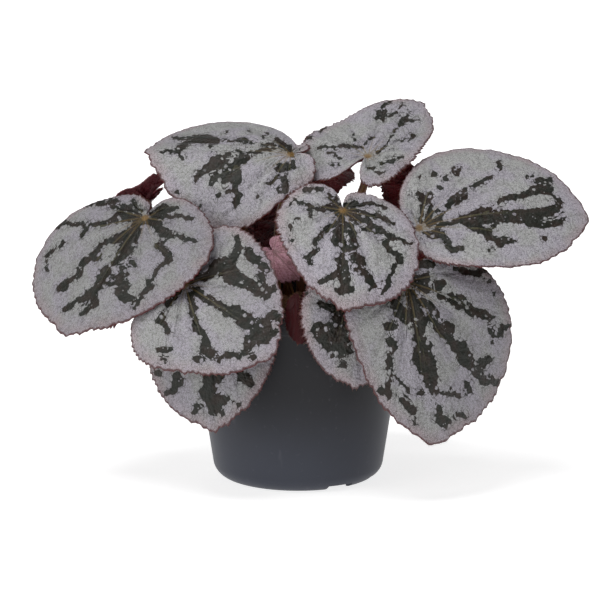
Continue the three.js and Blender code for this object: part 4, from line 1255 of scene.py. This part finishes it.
def stalk_radius(leaf, share):
    """The stalk is stout at its foot and widens again where it meets the blade."""
    foot = 0.22 * np.exp(-(share / 0.12) ** 2)
    top = 0.25 * np.exp(-((1 - share) / 0.03) ** 2)
    return leaf.stalk * (0.96 + foot + top - 0.08 * share)


def make_stalk(leaf, material):
    s = sizes()
    path, length = smooth_path(stalk_points(leaf), s.stalk_rings)
    side, other = path_frames(path)[1:]
    mesh = tube(f"{leaf.name}_hairy_stalk", s.stalk_sides, s.stalk_rings)
    start = corners_of(mesh)
    ring = np.rint(start[:, 2] * s.stalk_rings).astype(int)
    share = ring / s.stalk_rings
    around = np.arctan2(start[:, 1], start[:, 0])
    ribs = 1 + RIB_DEPTH * np.sin(STALK_RIBS * around + 3 * share)
    ribs += 0.02 * np.sin(40 * share + leaf.order)
    radius = stalk_radius(leaf, share) * ribs
    cos, sin = np.cos(around)[:, None], np.sin(around)[:, None]
    points = path[ring] + radius[:, None] * (cos * side[ring] + sin * other[ring])
    place_corners(mesh, points)
    skin = [np.cos(around) * leaf.stalk, share * length, np.sin(around) * leaf.stalk + 30 * leaf.order]
    store(mesh, "stalk_place", np.column_stack(skin))
    add_piece(mesh.name, mesh, [material], "leaf_stalk", f"{leaf.name}_stalk")


def margin_hair_roots(leaf, count):
    """Places and directions of the hairs along a blade's margin."""
    angle = (np.arange(count) + leaf.random.uniform(0, 1, count)) / count * 2 * math.pi - math.pi
    radius = leaf.reach(angle) + leaf.tooth(angle)
    keep = (math.pi - np.abs(angle)) * radius > 1
    angle = angle[keep]
    radius = radius[keep] - HAIR_ROOT
    along, across = radius * np.cos(angle), radius * np.sin(angle)
    height = leaf.lift(along, across, 1, angle) - sizes().margin_thickness / MM / 2
    roots = leaf.place(along, across, height)
    spread = leaf.random.normal(0, 0.35, (2, len(angle)))
    outward = (
        np.multiply.outer(np.cos(angle + spread[0]), leaf.tip)
        + np.multiply.outer(np.sin(angle + spread[0]), leaf.left)
        + np.multiply.outer(spread[1] - 0.1, leaf.out))
    return roots, outward


def stalk_hair_roots(leaf, count):
    """Places and directions of the hairs on a stalk above the soil."""
    path, length = smooth_path(stalk_points(leaf), HAIR_PATH_STEPS)
    tangent, side, other = path_frames(path)
    buried = SOCKET_DEPTH / length + 0.05
    share = leaf.random.uniform(buried, 0.985, count)
    around = leaf.random.uniform(0, 2 * math.pi, count)
    at = np.rint(share * HAIR_PATH_STEPS).astype(int)
    normal = np.cos(around)[:, None] * side[at] + np.sin(around)[:, None] * other[at]
    roots = path[at] + normal * (stalk_radius(leaf, share) * 0.95)[:, None]
    lean = leaf.random.normal(0, 0.35, (count, 1))
    return roots, normal + tangent[at] * lean


def make_hairs(leaf, material):
    s = sizes()
    scale = YOUNG_HAIR_SHARE if leaf.young else 1
    on_margin = max(40, int(s.margin_hairs * scale))
    roots, outward = margin_hair_roots(leaf, on_margin)
    stalk_roots, stalk_outward = stalk_hair_roots(leaf, max(40, int(s.stalk_hairs * scale)))
    lengths = np.concatenate([
        s.margin_hair / MM * leaf.random.uniform(0.6, 1.25, len(roots)),
        s.stalk_hair / MM * leaf.random.uniform(0.6, 1.2, len(stalk_roots))])
    mesh = hairs(
        f"{leaf.name}_hairs", np.vstack([roots, stalk_roots]), np.vstack([outward, stalk_outward]),
        lengths, HAIR_RADIUS)
    add_piece(mesh.name, mesh, [material], "leaf_stalk")


# Pot, soil and stem

def pot_radius(height):
    return POT_FOOT_RADIUS + POT_FLARE * height


def turned(profile, steps, sharp_bevel=0):
    """A closed profile of radius and height in mm, turned round the Z axis."""
    bm = bmesh.new()
    chain = [bm.verts.new((radius, 0, height)) for radius, height in profile]
    for first, second in zip(chain, chain[1:]):
        bm.edges.new((first, second))
    bmesh.ops.spin(
        bm, geom=bm.verts[:] + bm.edges[:], cent=(0, 0, 0), axis=(0, 0, 1), angle=2 * math.pi,
        steps=steps, use_merge=True)
    bmesh.ops.remove_doubles(bm, verts=bm.verts, dist=1e-4)
    bmesh.ops.recalc_face_normals(bm, faces=bm.faces)
    if sharp_bevel:
        limit = math.radians(SHARP_ANGLE)
        sharp = [edge for edge in bm.edges if edge.is_manifold and edge.calc_face_angle() > limit]
        bmesh.ops.bevel(
            bm, geom=sharp, offset=sharp_bevel, segments=2, profile=0.5, affect="EDGES",
            material=-1)
    return bm


def pot_profile():
    collar_bottom = POT_HEIGHT - COLLAR_HEIGHT
    collar = pot_radius(POT_HEIGHT) + COLLAR_STEP
    bevel_width, bevel_height = RIM_BEVEL
    floor = CHANNEL_DEPTH + POT_WALL
    profile = [(0, 0), (CHANNEL_INNER, 0), (CHANNEL_INNER + CHANNEL_SLOPE, CHANNEL_DEPTH)]
    profile += [(CHANNEL_OUTER, CHANNEL_DEPTH), (CHANNEL_OUTER, 0)]
    for angle in np.linspace(0, math.pi / 2, FOOT_ROUND_POINTS):
        height = FOOT_ROUND * (1 - math.cos(angle))
        profile.append((pot_radius(height) - FOOT_ROUND * (1 - math.sin(angle)), height))
    for height in np.linspace(FOOT_ROUND + 10, collar_bottom - 10, 6):
        profile.append((pot_radius(height), height))
    profile.append((pot_radius(collar_bottom), collar_bottom))
    profile.append((pot_radius(collar_bottom) + COLLAR_STEP, collar_bottom + COLLAR_SLOPE))
    profile.append((collar, POT_HEIGHT - bevel_height))
    profile.append((collar - bevel_width, POT_HEIGHT))
    profile.append((collar - POT_WALL, POT_HEIGHT))
    profile.append((pot_radius(collar_bottom) + COLLAR_STEP - POT_WALL, collar_bottom + COLLAR_STEP))
    profile.append((pot_radius(collar_bottom) - POT_WALL, collar_bottom))
    profile.append((pot_radius(FOOT_ROUND) - POT_WALL, FOOT_ROUND))
    profile += [(POT_FOOT_RADIUS - FOOT_ROUND, floor), (0, floor)]
    return profile


def pot_cutters():
    """The notches of the foot ring and the drain holes, as one mesh in mm."""
    bm = bmesh.new()
    ring = POT_FOOT_RADIUS - CHANNEL_OUTER
    for degrees in NOTCH_ANGLES:
        made = bmesh.ops.create_cube(bm, size=1)["verts"]
        bmesh.ops.scale(bm, verts=made, vec=(2 * ring, NOTCH_WIDTH, 2 * CHANNEL_DEPTH))
        bmesh.ops.translate(bm, verts=made, vec=(CHANNEL_OUTER + ring / 2, 0, 0))
        turn_about_z(bm, made, math.radians(degrees))
    for hole in range(DRAIN_COUNT):
        made = bmesh.ops.create_cone(
            bm, cap_ends=True, segments=DRAIN_SIDES, radius1=DRAIN_RADIUS, radius2=DRAIN_RADIUS,
            depth=4 * CHANNEL_DEPTH)["verts"]
        bmesh.ops.translate(bm, verts=made, vec=(DRAIN_CIRCLE, 0, CHANNEL_DEPTH))
        turn_about_z(bm, made, 2 * math.pi * hole / DRAIN_COUNT)
    return mesh_of(bm, "pot_cutters")


def turn_about_z(bm, verts, angle):
    bmesh.ops.rotate(bm, verts=verts, cent=(0, 0, 0), matrix=Matrix.Rotation(angle, 3, "Z"))


def cut_away(mesh, cutter_mesh):
    """The mesh without the cutters, by a Boolean that is applied here."""
    body = bpy.data.objects.new("body", mesh)
    cutter = bpy.data.objects.new("cutter", cutter_mesh)
    for thing in (body, cutter):
        bpy.context.scene.collection.objects.link(thing)
    change = body.modifiers.new("cut", "BOOLEAN")
    change.operation = "DIFFERENCE"
    change.solver = "EXACT"
    change.object = cutter
    graph = bpy.context.evaluated_depsgraph_get()
    result = bpy.data.meshes.new_from_object(body.evaluated_get(graph))
    bpy.data.objects.remove(body)
    bpy.data.objects.remove(cutter)
    return result


def soil_height(x, y):
    far = np.hypot(x, y) / pot_radius(SOIL_LEVEL)
    pitch_x, pitch_y = SOIL_LUMP_PITCH
    lump = SOIL_LUMP * np.sin(x / pitch_x + 1) * np.cos(y / pitch_y)
    return SOIL_LEVEL + SOIL_DOME * (1 - far ** 2) + lump * (1 - far ** 4)


def rough(points, pitch, octaves=4):
    """Lumpy noise of about -1 to 1 at points in mm."""
    return np.array([noise.fractal(Vector(p) / pitch, 0.8, 2.1, octaves) for p in points])


def make_soil(material):
    edge = pot_radius(SOIL_LEVEL) - SOIL_EDGE_GAP
    bottom = CHANNEL_DEPTH + POT_WALL + 0.5
    profile = [(0, bottom), (POT_FOOT_RADIUS - FOOT_ROUND, bottom)]
    profile.append((pot_radius(FOOT_ROUND) - SOIL_EDGE_GAP, FOOT_ROUND + 0.5))
    profile += [(edge * share, SOIL_LEVEL) for share in np.linspace(1, 0, SOIL_RINGS)]
    mesh = mesh_of(turned(profile, SOIL_STEPS), "fine_soil")
    points = corners_of(mesh)
    upper = points[:, 2] > SOIL_LEVEL - 1
    x, y = points[upper, 0], points[upper, 1]
    crumble = SOIL_CRUMBLE * rough(points[upper], SOIL_CRUMBLE_PITCH)
    fall = SOIL_EDGE_FALL * (np.hypot(x, y) / edge) ** 12
    points[upper, 2] = soil_height(x, y) + crumble - fall
    place_corners(mesh, points)
    add_piece(mesh.name, mesh, [material], "potting_soil", "soil")


def make_crumbs(peat, perlite):
    """Loose crumbs of peat and a few white grains, lying on the soil."""
    draw = np.random.default_rng(7)
    count = sizes().crumbs
    mesh, form = copies("soil_crumbs", crumb, count)
    radius = (pot_radius(SOIL_LEVEL) - SOIL_EDGE_GAP - 2.5) * np.sqrt(draw.uniform(0, 1, count))
    angle = draw.uniform(0, 2 * math.pi, count)
    x, y = radius * np.cos(angle), radius * np.sin(angle)
    size = draw.gamma(3, 0.33, count).clip(0.4, 2.4)
    squash = draw.uniform(0.45, 1, (count, 1, 3))
    dents = draw.uniform(0.75, 1.15, (count, len(form), 1))
    turns = np.linalg.qr(draw.normal(0, 1, (count, 3, 3)))[0]
    local = (form[None] * squash * dents * size[:, None, None]) @ turns
    centre = np.column_stack([x, y, soil_height(x, y) + size * 0.3])
    place_corners(mesh, (local + centre[:, None]).reshape(-1, 3))
    white = draw.uniform(0, 1, count) < PERLITE_SHARE
    per_copy = len(mesh.polygons) // count
    mesh.polygons.foreach_set("material_index", np.repeat(white, per_copy).astype(np.int32))
    for face in mesh.polygons:
        face.use_smooth = False
    add_piece(mesh.name, mesh, [peat, perlite], "potting_soil")


def make_stem(material):
    """The ringed stem that the stalks rise from, with scars between its knobs."""
    mesh = tube("ringed_stem", STEM_SIDES, STEM_RINGS)
    start = corners_of(mesh)
    along = (start[:, 2] - 0.5) * STEM_LENGTH
    around = np.arctan2(start[:, 1], start[:, 0])
    taper = np.sqrt(np.maximum(1 - (2 * along / STEM_LENGTH) ** 4, 0))
    ring_wave = np.cos(2 * math.pi * along / STEM_KNOB_PITCH)
    scar = np.exp(-((ring_wave + 1) / 0.12) ** 2)
    radius = STEM_RADIUS + STEM_KNOB * ring_wave
    skin = np.column_stack([along, STEM_RADIUS * np.cos(around), STEM_RADIUS * np.sin(around)])
    radius += STEM_BARK * (rough(skin, STEM_BARK_PITCH) - scar)
    radius *= taper
    y = radius * np.cos(around) + STEM_SWAY * np.sin(along / STEM_SWAY_PITCH)
    z = STEM_CENTRE_HEIGHT + radius * np.sin(around)
    place_corners(mesh, np.column_stack([along, y, z]))
    store(mesh, "stem_place", np.column_stack([along, around * STEM_RADIUS, scar]))
    add_piece(mesh.name, mesh, [material], "creeping_stem", "creeping_stem")


# Operators

class BEGONIA_OT_blades(Operator):
    """Builds the fine blade of every leaf"""
    bl_idname = "begonia.blades"
    bl_label = "Leaf Blades"

    def execute(self, context):
        upper = upper_face_material()
        under = underside_material()
        young = young_blade_material()
        unopened = unopened_blade_material()
        s = sizes()
        seen_disc = blade_disc("seen_disc", s.seen_spokes, s.seen_rings)
        far_disc = blade_disc("far_disc", s.far_spokes, s.far_rings)
        for name in LEAVES:
            leaf = Leaf(name)
            disc = seen_disc if leaf.seen else far_disc
            faces = [young if leaf.young else upper, under]
            if leaf.unopened:
                faces = [unopened, unopened]
            make_blade(leaf, disc, faces)
        bpy.data.meshes.remove(seen_disc)
        bpy.data.meshes.remove(far_disc)
        return {"FINISHED"}


class BEGONIA_OT_stalks(Operator):
    """Builds the stalk of every leaf"""
    bl_idname = "begonia.stalks"
    bl_label = "Leaf Stalks"

    def execute(self, context):
        material = stalk_material()
        for name in LEAVES:
            make_stalk(Leaf(name), material)
        return {"FINISHED"}


class BEGONIA_OT_hairs(Operator):
    """Adds the fine hairs of the margins and the stalks"""
    bl_idname = "begonia.hairs"
    bl_label = "Hairs"

    def execute(self, context):
        material = hair_material()
        for name in LEAVES:
            make_hairs(Leaf(name), material)
        return {"FINISHED"}


class BEGONIA_OT_pot(Operator):
    """Builds the moulded pot with its notches and drain holes"""
    bl_idname = "begonia.pot"
    bl_label = "Pot"

    def execute(self, context):
        body = mesh_of(turned(pot_profile(), sizes().pot_steps, MOULD_ROUND), "fine_pot")
        mesh = cut_away(body, pot_cutters())
        mesh.name = "fine_pot"
        place_corners(mesh, corners_of(mesh))
        mesh.shade_smooth()
        mesh.set_sharp_from_angle(angle=math.radians(35))
        add_piece("fine_pot", mesh, [pot_material()], "pot_plastic", "pot")
        return {"FINISHED"}


class BEGONIA_OT_soil(Operator):
    """Builds the soil's surface, its crumbs and the creeping stem"""
    bl_idname = "begonia.soil"
    bl_label = "Soil and Stem"

    def execute(self, context):
        c = colours()
        make_soil(soil_material())
        peat = crumb_material("begonia_peat_crumb", c.soil, c.soil_dry)
        perlite = crumb_material("begonia_perlite", c.perlite, c.silver_green)
        make_crumbs(peat, perlite)
        make_stem(stem_material())
        return {"FINISHED"}


class BEGONIA_OT_stage(Operator):
    """Adds the floor, the lights and the camera"""
    bl_idname = "begonia.stage"
    bl_label = "Stage"

    def execute(self, context):
        scene = context.scene
        scene.view_settings.view_transform = "Standard"
        bm = bmesh.new()
        bmesh.ops.create_grid(bm, x_segments=8, y_segments=8, size=FLOOR_REACH)
        floor = bpy.data.objects.new("floor", mesh_of(bm, "floor"))
        floor.data.materials.append(floor_material())
        scene.collection.objects.link(floor)

        world = bpy.data.worlds.new("studio")
        world.use_nodes = True
        background = world.node_tree.nodes["Background"]
        background.inputs["Color"].default_value = (1, 1, 1, 1)
        background.inputs["Strength"].default_value = WORLD_STRENGTH
        scene.world = world
        for name, (towards, strength, width) in SUNS.items():
            add_sun(name, towards, strength, width)

        camera = bpy.data.cameras.new("picture_camera")
        camera.sensor_width = SENSOR_WIDTH
        camera.lens = PICTURE_FOCAL / PICTURE_SIZE * SENSOR_WIDTH
        camera.clip_start = 0.1
        camera.clip_end = 100
        seat = bpy.data.objects.new("picture_camera", camera)
        forward = Vector((0, math.cos(CAMERA_ELEVATION), -math.sin(CAMERA_ELEVATION)))
        seat.location = (Vector(CAMERA_TARGET) - forward * CAMERA_DISTANCE) * MM
        seat.rotation_euler = forward.to_track_quat("-Z", "Y").to_euler()
        scene.collection.objects.link(seat)
        scene.camera = seat
        return {"FINISHED"}


def add_sun(name, towards, strength, width):
    """A sun that shines from the direction towards, with soft shadows width degrees wide."""
    light = bpy.data.lights.new(name, "SUN")
    light.energy = strength
    light.angle = math.radians(width)
    sun = bpy.data.objects.new(name, light)
    sun.rotation_euler = Vector(towards).to_track_quat("Z", "Y").to_euler()
    bpy.context.scene.collection.objects.link(sun)


class BEGONIA_PT_panel(Panel):
    """Lists the pieces of the plant, its sizes and its colours"""
    bl_idname = "BEGONIA_PT_panel"
    bl_label = "Begonia"
    bl_space_type = "VIEW_3D"
    bl_region_type = "UI"
    bl_category = "Begonia"

    def draw(self, context):
        layout = self.layout
        for operator in PIECES:
            layout.operator(operator.bl_idname)
        for group in (sizes(), colours()):
            box = layout.box()
            for name in group.__annotations__:
                box.prop(group, name)


PIECES = (
    BEGONIA_OT_stage, BEGONIA_OT_pot, BEGONIA_OT_soil, BEGONIA_OT_blades, BEGONIA_OT_stalks,
    BEGONIA_OT_hairs)
CLASSES = (BegoniaSizes, BegoniaColours, *PIECES, BEGONIA_PT_panel)


def register():
    for item in CLASSES:
        bpy.utils.register_class(item)
    bpy.types.Scene.begonia_sizes = PointerProperty(type=BegoniaSizes)
    bpy.types.Scene.begonia_colours = PointerProperty(type=BegoniaColours)


def unregister():
    del bpy.types.Scene.begonia_colours
    del bpy.types.Scene.begonia_sizes
    for item in reversed(CLASSES):
        bpy.utils.unregister_class(item)


def main():
    register()
    bpy.ops.begonia.stage()
    bpy.ops.begonia.pot()
    bpy.ops.begonia.soil()
    bpy.ops.begonia.blades()
    bpy.ops.begonia.stalks()
    bpy.ops.begonia.hairs()


if __name__ == "__main__":
    main()
